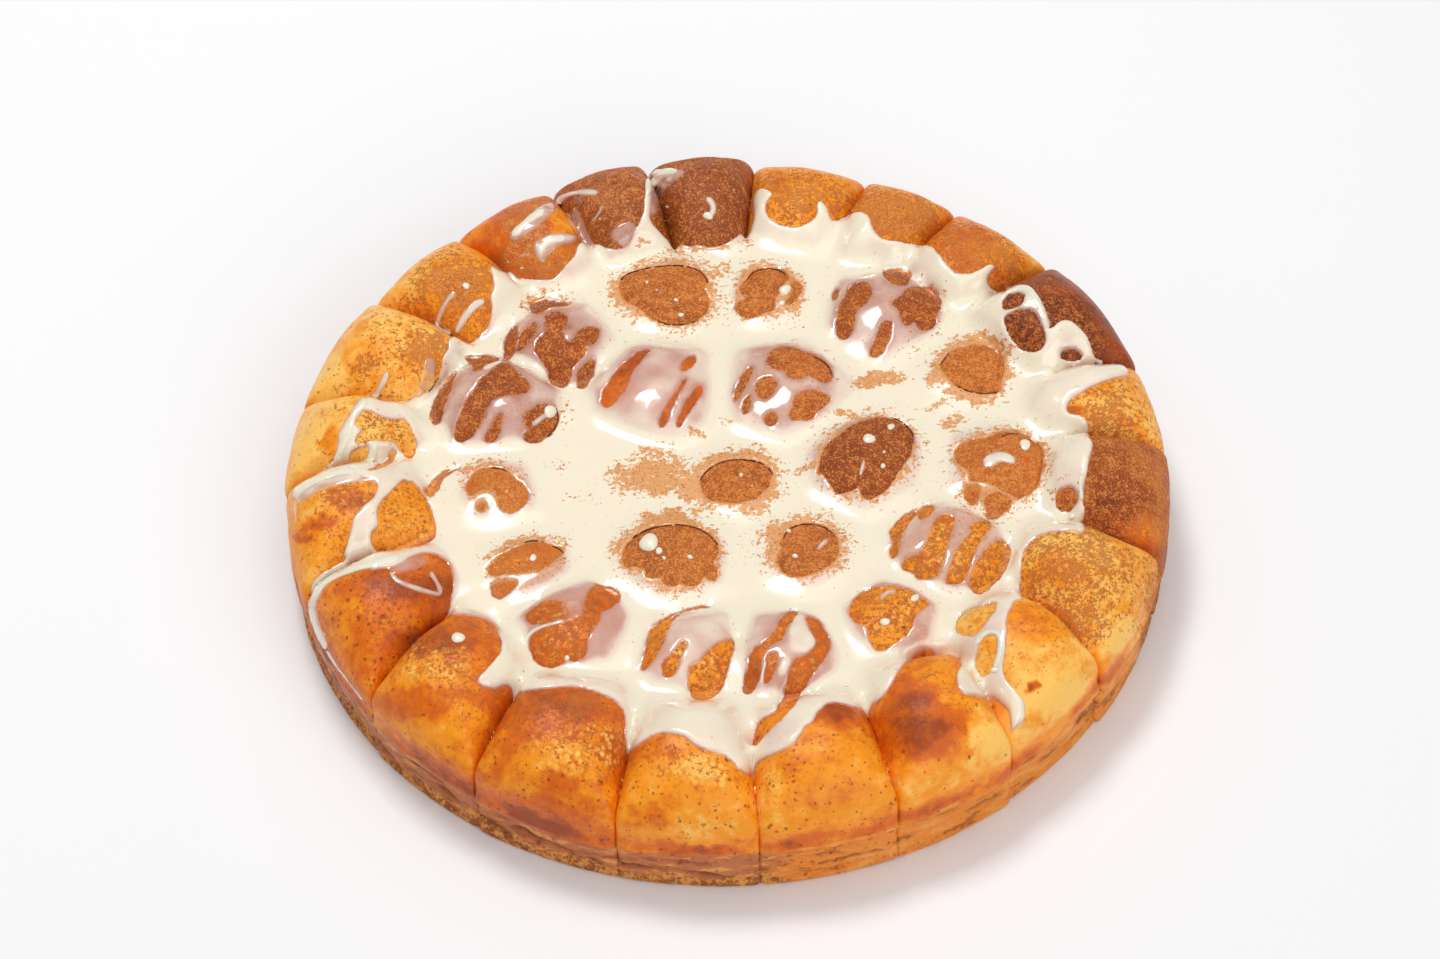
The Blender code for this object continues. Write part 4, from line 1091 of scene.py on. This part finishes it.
def pool_field(x, y):
    """Level of the pool: flat in the middle, running down the seams of the rim, with slow waves."""
    outward = np.clip((np.hypot(x, y) - POOL_RADIUS) / (SEAM_OUTER_RADIUS - POOL_RADIUS), 0, 1)
    return POOL_LEVEL - (POOL_LEVEL - LIP_LEVEL) * outward + layered(x, y, POOL_WAVES) * (1 - outward)


def rounded(distance, width, thickness):
    """The profile of a liquid's edge: full thickness from width inwards, falling away outside it."""
    way = np.clip(1 - distance / width, 0, 1)
    return np.where(distance > 0, thickness * np.sqrt(1 - way ** 2), 1.3 * distance)


def upper(first, second, blend):
    """The higher of two surfaces, with the corner between them filled."""
    apart = np.clip(1 - np.abs(first - second) / blend, 0, 1)
    return np.maximum(first, second) + apart ** 2 * blend / 4


def sampled(table, x, y, reach=FIELD_REACH, cell=FIELD_CELL):
    """A table of heights read between its points."""
    column = np.clip((np.asarray(x) + reach) / cell, 0, table.shape[1] - 1.001)
    row = np.clip((np.asarray(y) + reach) / cell, 0, table.shape[0] - 1.001)
    c, r = column.astype(int), row.astype(int)
    across, up = column - c, row - r
    return ((table[r, c] * (1 - across) + table[r, c + 1] * across) * (1 - up)
            + (table[r + 1, c] * (1 - across) + table[r + 1, c + 1] * across) * up)


def slope_of(table, cell):
    """How much longer than its plan each bit of a surface is."""
    up, across = np.gradient(table, cell)
    return np.sqrt(1 + up ** 2 + across ** 2)


def levelled(top, floor, free):
    """Lets the liquid settle between the crowns: each free point moves to the mean of those round it."""
    for _ in range(LEVELLING):
        mean = (np.roll(top, 1, 0) + np.roll(top, -1, 0) + np.roll(top, 1, 1) + np.roll(top, -1, 1)) / 4
        top = np.where(free, np.maximum(mean, floor), top)
    return top


def iced_field(x, y, shape):
    """Top of the icing over every point of a square table, the crust under it, how deep and how dry the icing is
    there, and which roll each point lies on.
    """
    crust, owner, share = crust_field(x, y)
    pool = pool_field(x, y)
    base = np.maximum(crust, pool)
    pixels = seen(np.stack([x, y, base], -1))
    # A point that something nearer hides from the camera keeps its pool and gets no film
    away = np.hypot(y - standpoint[1], base - standpoint[2])
    bucket = (pixels[:, 1] // SIGHT_CELL).astype(int) * PICTURE[0] + (pixels[:, 0] // SIGHT_CELL).astype(int)
    nearest = np.full(bucket.max() + 1, 1e9)
    np.minimum.at(nearest, bucket, away)
    hidden = away > nearest[bucket] + HIDDEN_BEHIND
    wobble = layered(x, y, EDGE_WOBBLE)
    poured = (inside_by(pixels, smooth_loop(POUR)) + wobble) / PIXELS_PER_MM
    ragged = 0.35 * wobble + 0.9 * lumps(x, y, 1.2, 38)
    dry = np.full(len(x), NOT_DRY)
    for pixels_of_one in DRY:
        dry = np.maximum(dry, (inside_by(pixels, smooth_loop(pixels_of_one)) + ragged) / PIXELS_PER_MM)
    outer = np.full(len(x), NO_FILM)
    for thick, *pixels_of_one in FILMS:
        spread = (inside_by(pixels, smooth_loop(pixels_of_one)) + 0.6 * wobble) / PIXELS_PER_MM
        if thick > COVERING:
            dry = np.minimum(dry, -spread)
        thick = thick * (1 + 0.45 * lumps(x, y, 3.0, 39))
        outer = np.maximum(outer, np.minimum(rounded(spread, 2.0, thick), rounded(-dry, 1.1, thick)))
    rim = ease(np.hypot(x, y), 84.0, 92.0)
    thin = marked(pixels, THIN) * (1 - 0.3 * rim)
    thickness = CROWN_COAT + (RIM_COAT - CROWN_COAT) * rim + 0.2 * lumps(x, y, 6.0, 37)
    thickness += (CROWN_FILM * (1 + 0.3 * lumps(x, y, 5.0, 36)) - thickness) * thin
    film = np.minimum(rounded(poured, LIP_WIDTH, thickness), rounded(-dry, 0.9 + 1.3 * thin, thickness))
    film = np.maximum(film, outer)
    film = np.where(hidden, NO_FILM, film)
    steep = np.minimum(slope_of(crust.reshape(shape), CELL).ravel(), 1.6)
    front = np.where(hidden, 20.0, poured)
    level = np.where(front > 0, crust + np.maximum(pool - crust, 0) * rounded(front, 3.5, 1.0), crust + 1.3 * front)
    level = np.where(pool > crust, level, pool)
    level = level - 0.5 * ease(dry, -0.5, 0.9)
    fillet = 0.5 + (FILLET - 0.5) * (1 - ease(dry, -1.2, 0.2)) * ease(front, 0.0, 3.0)
    top = upper(level, crust + film * steep, fillet)
    top = top - 2.5 * ease(np.hypot(x, y), EDGE_REACH - 2.2, EDGE_REACH)
    free = (dry < -0.7) & (front > 1.8) & (top > crust) & (np.hypot(x, y) < EDGE_REACH - 2.5)
    coat = crust + 0.92 * film * steep
    top = levelled(top.reshape(shape), coat.reshape(shape), free.reshape(shape)).ravel()
    depth = np.maximum(top - crust, 0.0) / steep
    return crust, top, depth, dry, hidden, owner, share, pixels


def sheet_body(x, y, top, under, kept):
    """A closed body under a table of heights. Flat cells merge two by two on its top, and any do below."""
    corner = np.zeros(top.shape, int)
    for down, across in ((0, 0), (0, 1), (1, 0), (1, 1)):
        corner[down:top.shape[0] - 1 + down, across:top.shape[1] - 1 + across] += kept
    used, inner = corner > 0, corner == 4
    above = np.full(top.shape, -1)
    above[used] = np.arange(used.sum())
    below = above.copy()
    below[inner] = used.sum() + np.arange(inner.sum())
    four = kept[0::2, 0::2] & kept[1::2, 0::2] & kept[0::2, 1::2] & kept[1::2, 1::2]
    ends = top[0:-2:2, 0:-2:2], top[0:-2:2, 2::2], top[2::2, 2::2], top[2::2, 0:-2:2]
    middles = top[0:-2:2, 1::2], top[1::2, 2::2], top[2::2, 1::2], top[1::2, 0:-2:2]
    bend = np.max([np.abs(middles[i] - (ends[i] + ends[(i + 1) % 4]) / 2) for i in range(4)], axis=0)
    # Round a merged block: each corner, the point halfway to the next, and the block beyond that side
    walk = (((0, 0), (0, 1), (-1, 0)), ((0, 2), (1, 2), (0, 1)), ((2, 2), (2, 1), (1, 0)), ((2, 0), (1, 0), (0, -1)))
    faces = []
    for index, merged, turn in ((above, four & (bend < FLAT_ENOUGH), 1), (below, four, -1)):
        bordered = np.pad(merged, 1)
        for row, column in np.argwhere(kept & ~merged.repeat(2, 0).repeat(2, 1)):
            face = [index[row, column], index[row, column + 1], index[row + 1, column + 1], index[row + 1, column]]
            faces.append(face[::turn])
        for row, column in np.argwhere(merged):
            face = []
            for (i, j), (k, l), (p, q) in walk:
                face.append(index[2 * row + i, 2 * column + j])
                if not bordered[row + 1 + p, column + 1 + q]:
                    face.append(index[2 * row + k, 2 * column + l])
            faces.append(face[::turn])
    points = np.concatenate([np.stack([x[used], y[used], top[used]], -1),
                             np.stack([x[inner], y[inner], under[inner]], -1)])
    met = np.zeros(len(points), bool)
    for face in faces:
        met[face] = True
    moved = np.cumsum(met) - 1
    return points[met], [moved[face].tolist() for face in faces], used, inner, met


def crust_numbers(x, y, z, owner, share):
    """What crust_look needs, at points that lie on any of the rolls."""
    labels = ("bake", "dust", "wall", "foot", "warm_and_lit", "specks", "crease_shade", "blister", "wet")
    numbers = {label: np.zeros(len(x)) for label in labels}
    for index, roll in enumerate(rolls):
        here = owner == index
        if here.any():
            for label, values in look_at_points(x[here], y[here], z[here], share[here], roll).items():
                numbers[label][here] = values
    # The icing fills the creases, so it carries none of their painted shade
    numbers["crease_shade"] = np.zeros(len(x))
    return numbers


LILAC = colour(208, 168, 156)
PINK_CREAM = colour(238, 214, 196)
CREAM = colour(247, 234, 210)
WET_CINNAMON = colour(224, 152, 76)


def icing_material():
    """Sugar icing: the crust shows through it where it is thin, and bare where it is dry."""
    finish = Finish("sugar_icing", Specular_IOR_Level=0.6, Subsurface_Weight=0.25, Subsurface_Scale=0.003,
                    Coat_Weight=0.6, Coat_Roughness=0.05)
    crust, dusted, fine, middle, crumbs, grains = crust_look(finish)
    depth = finish.carried("depth") + (middle - 0.5) * 0.12
    film = finish.mix(finish.step(depth, 0.03, 0.32) * 0.74, crust, LILAC)
    film = finish.mix(finish.step(depth, 0.32, 0.60), film, PINK_CREAM)
    film = finish.mix(finish.step(depth, 0.50, 1.05), film, CREAM)
    drift = finish.grain(420.0, 3.0, (1.0, 1.6, 1.0))
    clumped = (fine - 0.5) * 0.5 + (crumbs - 0.5) * 2.4 + (drift - 0.5) * 1.6
    floating = finish.step(finish.carried("smear") + clumped, 0.54, 0.68)
    film = finish.mix(floating * 0.92, film, WET_CINNAMON)
    film = finish.mix(finish.step(crumbs + fine + floating * 0.1, 1.16, 1.32) * floating * 0.7, film, POWDER_SHADE)
    dry = finish.step(finish.carried("dry") + (fine - 0.5) * 0.5, -0.30, 0.30)
    # The crust is darker just inside the edge of a dry crown
    edge = 1.0 - finish.step(finish.carried("dry") + (fine - 0.5) * 0.8, 0.15, 0.75)
    finish.drive(Base_Color=finish.mix(dry, film, finish.mix(edge * 0.32, crust, BROWN_CRUST)))
    # The thickly dusted crowns are matt, the others glisten with glaze
    matt = finish.step(finish.carried("dust"), 0.76, 0.95)
    finish.drive(Roughness=0.14 + dry.most(floating * 0.6) * (0.20 + matt * 0.46))
    ripple = finish.bump(finish.grain(160.0, 1.0), 0.06, 0.001)
    lumpy = fine * (0.05 + dry) + crumbs * dry * (1.0 - matt) * 1.6
    finish.drive(Normal=finish.bump(lumpy, 0.5, 0.0007, ripple))
    return finish.material


icing_finish = icing_material()
steps = np.arange(-GRID_REACH, GRID_REACH + CELL / 2, CELL)
grid_x, grid_y = np.meshgrid(steps, steps)
crust, top, depth, dry, hidden, owner, share, pixels = iced_field(grid_x.ravel(), grid_y.ravel(), grid_x.shape)
smear = marked(pixels, FLOATING)
smear += np.exp(np.minimum(dry, 0.0) / HALO_REACH) * marked(pixels, HALOS)
table = [part.reshape(grid_x.shape) for part in (crust, top)]
present = (table[1] > table[0] - TUCKED) & (np.hypot(grid_x, grid_y) < EDGE_REACH)
kept = present[:-1, :-1] | present[1:, :-1] | present[:-1, 1:] | present[1:, 1:]
kept &= np.hypot(grid_x, grid_y)[:-1, :-1] < EDGE_REACH
under = np.maximum(np.minimum(*table) - SUNK, SHOULDER - 2.5)
points, faces, used, inner, met = sheet_body(grid_x, grid_y, np.maximum(table[1], under + SHEET_LEAST), under, kept)


def carried_over(values):
    """Numbers of the table's points, in the order that sheet_body gives its points."""
    square = values.reshape(grid_x.shape)
    return np.concatenate([square[used], square[inner]])[met]


numbers = crust_numbers(grid_x.ravel(), grid_y.ravel(), np.maximum(crust, 20.0), owner, share)
dust_field = numbers["dust"]
numbers.update(depth=depth, dry=np.where(hidden, NOT_DRY, dry), smear=np.clip(smear, 0, 1.2))
numbers = {label: carried_over(values) for label, values in numbers.items()}
poured = solid_piece("poured_icing", points, faces, numbers, icing_finish)
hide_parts("icing")

top_table = np.where(present, table[1], NO_ICING)

# The threads and drops of icing. What ran off the spoon last: thin raised lines and beads that lie over
# the films and the bare crust, the same sugar glaze, following the bread down to its wall.

THREAD_STEP = 1.6
THREAD_HEIGHT = 0.11
THREAD_BODY = 1.9
THREAD_ROOT = 0.5
ABOVE_ALL = 48.0
SIGHT_STEP = 0.3
SIGHT_HALVINGS = 9
DROP_SIDES = 22
DROP_RINGS = 9
DROP_LENGTH = 0.86
DROP_HEIGHT = 0.55
DROP_ROOT = 0.7
ACROSS = np.cos(np.linspace(0, np.pi, 9))


def surface(x, y):
    """Height of the bread with its icing above any point."""
    return np.maximum(crust_field(x, y)[0], sampled(top_table, x, y, GRID_REACH, CELL))


rough_steps = np.arange(-FIELD_REACH, FIELD_REACH + FIELD_CELL / 2, FIELD_CELL)
rough_x, rough_y = np.meshgrid(rough_steps, rough_steps)
rough_table = surface(rough_x.ravel(), rough_y.ravel()).reshape(rough_x.shape)


def landed(pixels):
    """Where the lines of sight through some pixels of the photograph meet the bread."""
    across = (pixels[:, 0] - PICTURE[0] / 2 - SHIFT[0]) / FOCAL
    upward = -(pixels[:, 1] - PICTURE[1] / 2 - SHIFT[1]) / FOCAL
    ray = forward + across[:, None] * right + upward[:, None] * up
    ray = ray / -ray[:, 2:]
    start = standpoint + ray * (standpoint[2] - ABOVE_ALL)
    low = np.zeros(len(pixels))
    reached = np.zeros(len(pixels), bool)
    for drop in np.arange(0.0, ABOVE_ALL, SIGHT_STEP):
        at = start + ray * drop
        reached |= sampled(rough_table, at[:, 0], at[:, 1]) > at[:, 2]
        low = np.where(reached, low, drop)
    high = low + 2 * SIGHT_STEP
    low = np.maximum(low - SIGHT_STEP, 0.0)
    for _ in range(SIGHT_HALVINGS):
        middle = (low + high) / 2
        at = start + ray * middle[:, None]
        under = surface(at[:, 0], at[:, 1]) > at[:, 2]
        low, high = np.where(under, low, middle), np.where(under, middle, high)
    return start + ray * high[:, None]


def facing_camera(direction):
    """A direction of length 1, or its opposite if that is the one towards the camera."""
    direction = direction / (np.linalg.norm(direction, axis=-1, keepdims=True) + 1e-9)
    return np.where((direction @ forward)[..., None] > 0, -direction, direction)


def smooth_line(pixels):
    """A traced line with its corners cut, in even steps, and how far along it each of its points is."""
    line = np.array(pixels, float).reshape(-1, 2)
    for _ in range(CORNER_CUTS):
        cut = np.stack([line[:-1] * 0.75 + line[1:] * 0.25, line[:-1] * 0.25 + line[1:] * 0.75], 1).reshape(-1, 2)
        line = np.concatenate([line[:1], cut, line[-1:]])
    length = np.concatenate([[0], np.cumsum(np.hypot(*np.diff(line, axis=0).T))])
    places = np.linspace(0, length[-1], max(5, int(length[-1] / THREAD_STEP)))
    return np.stack([np.interp(places, length, line[:, 0]), np.interp(places, length, line[:, 1])], -1), places


def thread(width, pixels, height=None, seed=0):
    """A raised line along some pixels, with round ends, higher by the root of its width if no height is given.

    Its rings of points go over the top and back below, and its two ends are given after them.
    """
    line, places = smooth_line(pixels)
    along = np.gradient(line, axis=0)
    side = np.stack([-along[:, 1], along[:, 0]], -1) / np.linalg.norm(along, axis=1, keepdims=True)
    end = np.minimum(places, places[-1] - places) / (width * 0.6)
    taper = np.sqrt(1 - np.clip(1 - end, 0, 1) ** 2) * 0.97 + 0.03
    half = width / 2 * taper * (1.1 + 0.32 * lumps(places, seed * 7.0, 9.0, 41))
    spots = line[:, None, :] + side[:, None, :] * (half[:, None] * ACROSS[None, :])[..., None]
    ground = landed(spots.reshape(-1, 2)).reshape(spots.shape[0], len(ACROSS), 3)
    for _ in range(2):
        ground[1:-1] = (ground[:-2] + 2 * ground[1:-1] + ground[2:]) / 4
    normal = facing_camera(np.cross(np.gradient(ground, axis=0), np.gradient(ground, axis=1)))
    rise = (math.sqrt(width) * THREAD_HEIGHT if height is None else height) * taper[:, None]
    rise = rise * (1 - ACROSS ** 2) ** 0.65 * (1 + 0.15 * lumps(places, 3.0 + seed, 6.0, 42))[:, None]
    over = ground + normal * (rise - 0.06)[..., None]
    under = ground - normal * THREAD_ROOT * taper[:, None, None]
    ring = np.concatenate([over, under[:, -2:0:-1]], 1)
    depth = np.concatenate([rise, np.zeros((len(rise), len(ACROSS) - 2))], 1)
    return ring, depth, ring[0].mean(0), ring[-1].mean(0)


def bead(x, y, size, seed):
    """A drop, not quite round: rings of points from its top outwards, then its top and its root."""
    turn = np.linspace(0, 2 * np.pi, DROP_SIDES, endpoint=False)
    share = np.sin(np.linspace(0.12, 1, DROP_RINGS) * np.pi / 2)
    reach = share[:, None] * (size * (1 + 0.10 * np.cos(turn * 2 + seed) + 0.05 * np.cos(turn * 3 + 2 * seed)))
    spots = np.stack([x + reach * np.cos(turn), y + reach * DROP_LENGTH * np.sin(turn)], -1)
    ground = landed(spots.reshape(-1, 2)).reshape(len(share), len(turn), 3)
    middle = ground[0].mean(0)
    flat = ground.reshape(-1, 3)
    normal = facing_camera(np.linalg.svd(flat - flat.mean(0), full_matrices=False)[2][2])
    height = DROP_HEIGHT * size / PIXELS_PER_MM
    rise = height * np.sqrt(1 - share ** 2)
    ring = ground + normal * (rise - 0.05 * share)[:, None, None]
    return ring, np.repeat(rise[:, None], len(turn), 1), middle + normal * height, middle - normal * DROP_ROOT


def gathered(name, bodies, material, replaced):
    """Several closed bodies as one piece."""
    points, faces, depths, count = [], [], [], 0
    for ring, rise, first, last in bodies:
        own, own_faces = closed_body(ring[..., 0], ring[..., 1], ring[..., 2], first, last)
        faces += [[corner + count for corner in face] for face in own_faces]
        points.append(own)
        depths.append(np.concatenate([rise.ravel(), [rise.max(), 0.0]]))
        count += len(own)
    points = np.concatenate(points)
    height, owner, share = crust_field(points[:, 0], points[:, 1])
    numbers = crust_numbers(points[:, 0], points[:, 1], points[:, 2], owner, share)
    below = sampled(depth.reshape(grid_x.shape), points[:, 0], points[:, 1], GRID_REACH, CELL)
    numbers.update(depth=np.concatenate(depths) * THREAD_BODY + 0.04 + below, dry=np.full(len(points), NOT_DRY),
                   smear=np.zeros(len(points)))
    piece = solid_piece(name, points, faces, numbers, material)
    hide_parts(replaced)
    return piece


bodies = [thread(width, pixels, seed=seed) for seed, (width, *pixels) in enumerate(THREADS)]
bodies += [bead(x, y, size, seed) for seed, (x, y, size) in enumerate(DROPS)]
gathered("icing_threads", bodies, icing_finish, "icing")

# The cracks round the dusted crowns. The skin of cinnamon lifted off the setting icing there and left a dark
# gap, seen as a line of less than half a millimetre; a thin strip of shadow colour lies in each.

CRACK_WIDTH = 1.5
CRACK_HEIGHT = 0.12
CRACK_SEED = 60
CRACK_SHADOW = colour(84, 38, 18)
crack_finish = Finish("crack_shadow", Base_Color=CRACK_SHADOW, Roughness=0.8, Specular_IOR_Level=0.1).material
bodies = [thread(CRACK_WIDTH, pixels, CRACK_HEIGHT, CRACK_SEED + seed) for seed, pixels in enumerate(CRACK_LINES)]
gathered("skin_crack_shadows", bodies, crack_finish, "icing")

# The cinnamon. Ground bark sprinkled over the crowns before baking; its coarser grains stand on the crust, and
# some ran off to float on the icing. Each is a crumb of a fifth to half a millimetre, held by the glaze.

GRAIN_TRIES = 60000
GRAIN_SIZE = (0.10, 0.24)
DUSTED_REACH = 119.0
CLUMPS = ((0.35, 2.4, 71), (0.25, 0.9, 72))

chance = np.random.default_rng(21)
spots = chance.uniform(-DUSTED_REACH, DUSTED_REACH, (GRAIN_TRIES, 2))
spots = spots[np.hypot(*spots.T) < DUSTED_REACH]


def at_spots(values):
    """Numbers of the icing's table, read where the grains lie."""
    return sampled(np.reshape(values, grid_x.shape), spots[:, 0], spots[:, 1], GRID_REACH, CELL)


bare = (at_spots(dry) > 0.1) | (at_spots(top - crust) < -0.1)
clumped = layered(*spots.T, CLUMPS)
on_crust = ease(at_spots(dust_field) + clumped, 0.45, 1.0) * 0.55
on_icing = ease(at_spots(smear) + 1.2 * clumped, 0.45, 0.95) * 0.4
spots = spots[chance.random(len(spots)) < np.where(bare, on_crust, on_icing)]
turned = chance.normal(size=(len(spots), 3, 3))
axes = [turned[:, 0] / np.linalg.norm(turned[:, 0], axis=1, keepdims=True)]
axes.append(np.cross(axes[0], turned[:, 1]))
axes[1] /= np.linalg.norm(axes[1], axis=1, keepdims=True)
axes.append(np.cross(axes[0], axes[1]))
sizes = chance.uniform(*GRAIN_SIZE, (len(spots), 3, 1))
middle = np.column_stack([spots, surface(*spots.T) + GRAIN_SIZE[0] * 0.5])
points = np.stack([middle + side * axis * size for axis, size in zip(axes, sizes.transpose(1, 0, 2))
                   for side in (1, -1)], 1)
corners = np.array([(0, 2, 4), (2, 1, 4), (1, 3, 4), (3, 0, 4), (2, 0, 5), (1, 2, 5), (3, 1, 5), (0, 3, 5)])
faces = (6 * np.arange(len(spots))[:, None, None] + corners).reshape(-1, 3).tolist()
finish = Finish("ground_cinnamon", Roughness=0.75, Specular_IOR_Level=0.2)
finish.drive(Base_Color=finish.mix(finish.carried("shade"), DARK_CINNAMON, CINNAMON))
shade = np.repeat(chance.random(len(spots)), 6)
solid_piece("cinnamon_grains", points.reshape(-1, 3), faces, dict(shade=shade), finish.material)


# The studio, in metres: a pale floor, a small window above and behind on the left, which throws the shadows, a
# wide ceiling light, and soft fill from the front. Each light faces the bread: its place, size and power.

LIGHTS = {
    "window": ((-0.28, 0.48, 1.35), (0.44, 0.36), 9.0),
    "ceiling": ((0.1, 0.1, 1.9), (1.8, 1.8), 8.0),
    "fill": ((1.1, -2.1, 1.4), (2.4, 1.8), 28.0),
}
WORLD_STRENGTH = 0.36
FLOOR_REACH = 4.0

for name, (place, size, power) in LIGHTS.items():
    lamp = bpy.data.lights.new(name, "AREA")
    lamp.shape = "RECTANGLE"
    lamp.size, lamp.size_y = size
    lamp.energy = power
    hung = bpy.data.objects.new(name, lamp)
    bpy.context.scene.collection.objects.link(hung)
    hung.location = place
    hung.rotation_euler = (-Vector(place)).to_track_quat("-Z", "Y").to_euler()
world = bpy.data.worlds.new("studio")
world.use_nodes = True
world.node_tree.nodes["Background"].inputs["Color"].default_value = (1.0, 1.0, 1.0, 1.0)
world.node_tree.nodes["Background"].inputs["Strength"].default_value = WORLD_STRENGTH
bpy.context.scene.world = world
bpy.context.scene.view_settings.view_transform = "Standard"

floor_data = bpy.data.meshes.new("floor")
corners = [(x * FLOOR_REACH, y * FLOOR_REACH, 0) for x, y in ((-1, -1), (1, -1), (1, 1), (-1, 1))]
floor_data.from_pydata(corners, [], [(0, 1, 2, 3)])
floor = bpy.data.objects.new("floor", floor_data)
bpy.context.scene.collection.objects.link(floor)
sweep = Finish("paper_sweep", Base_Color=(0.90, 0.90, 0.91, 1.0), Roughness=0.9)
floor_data.materials.append(sweep.material)
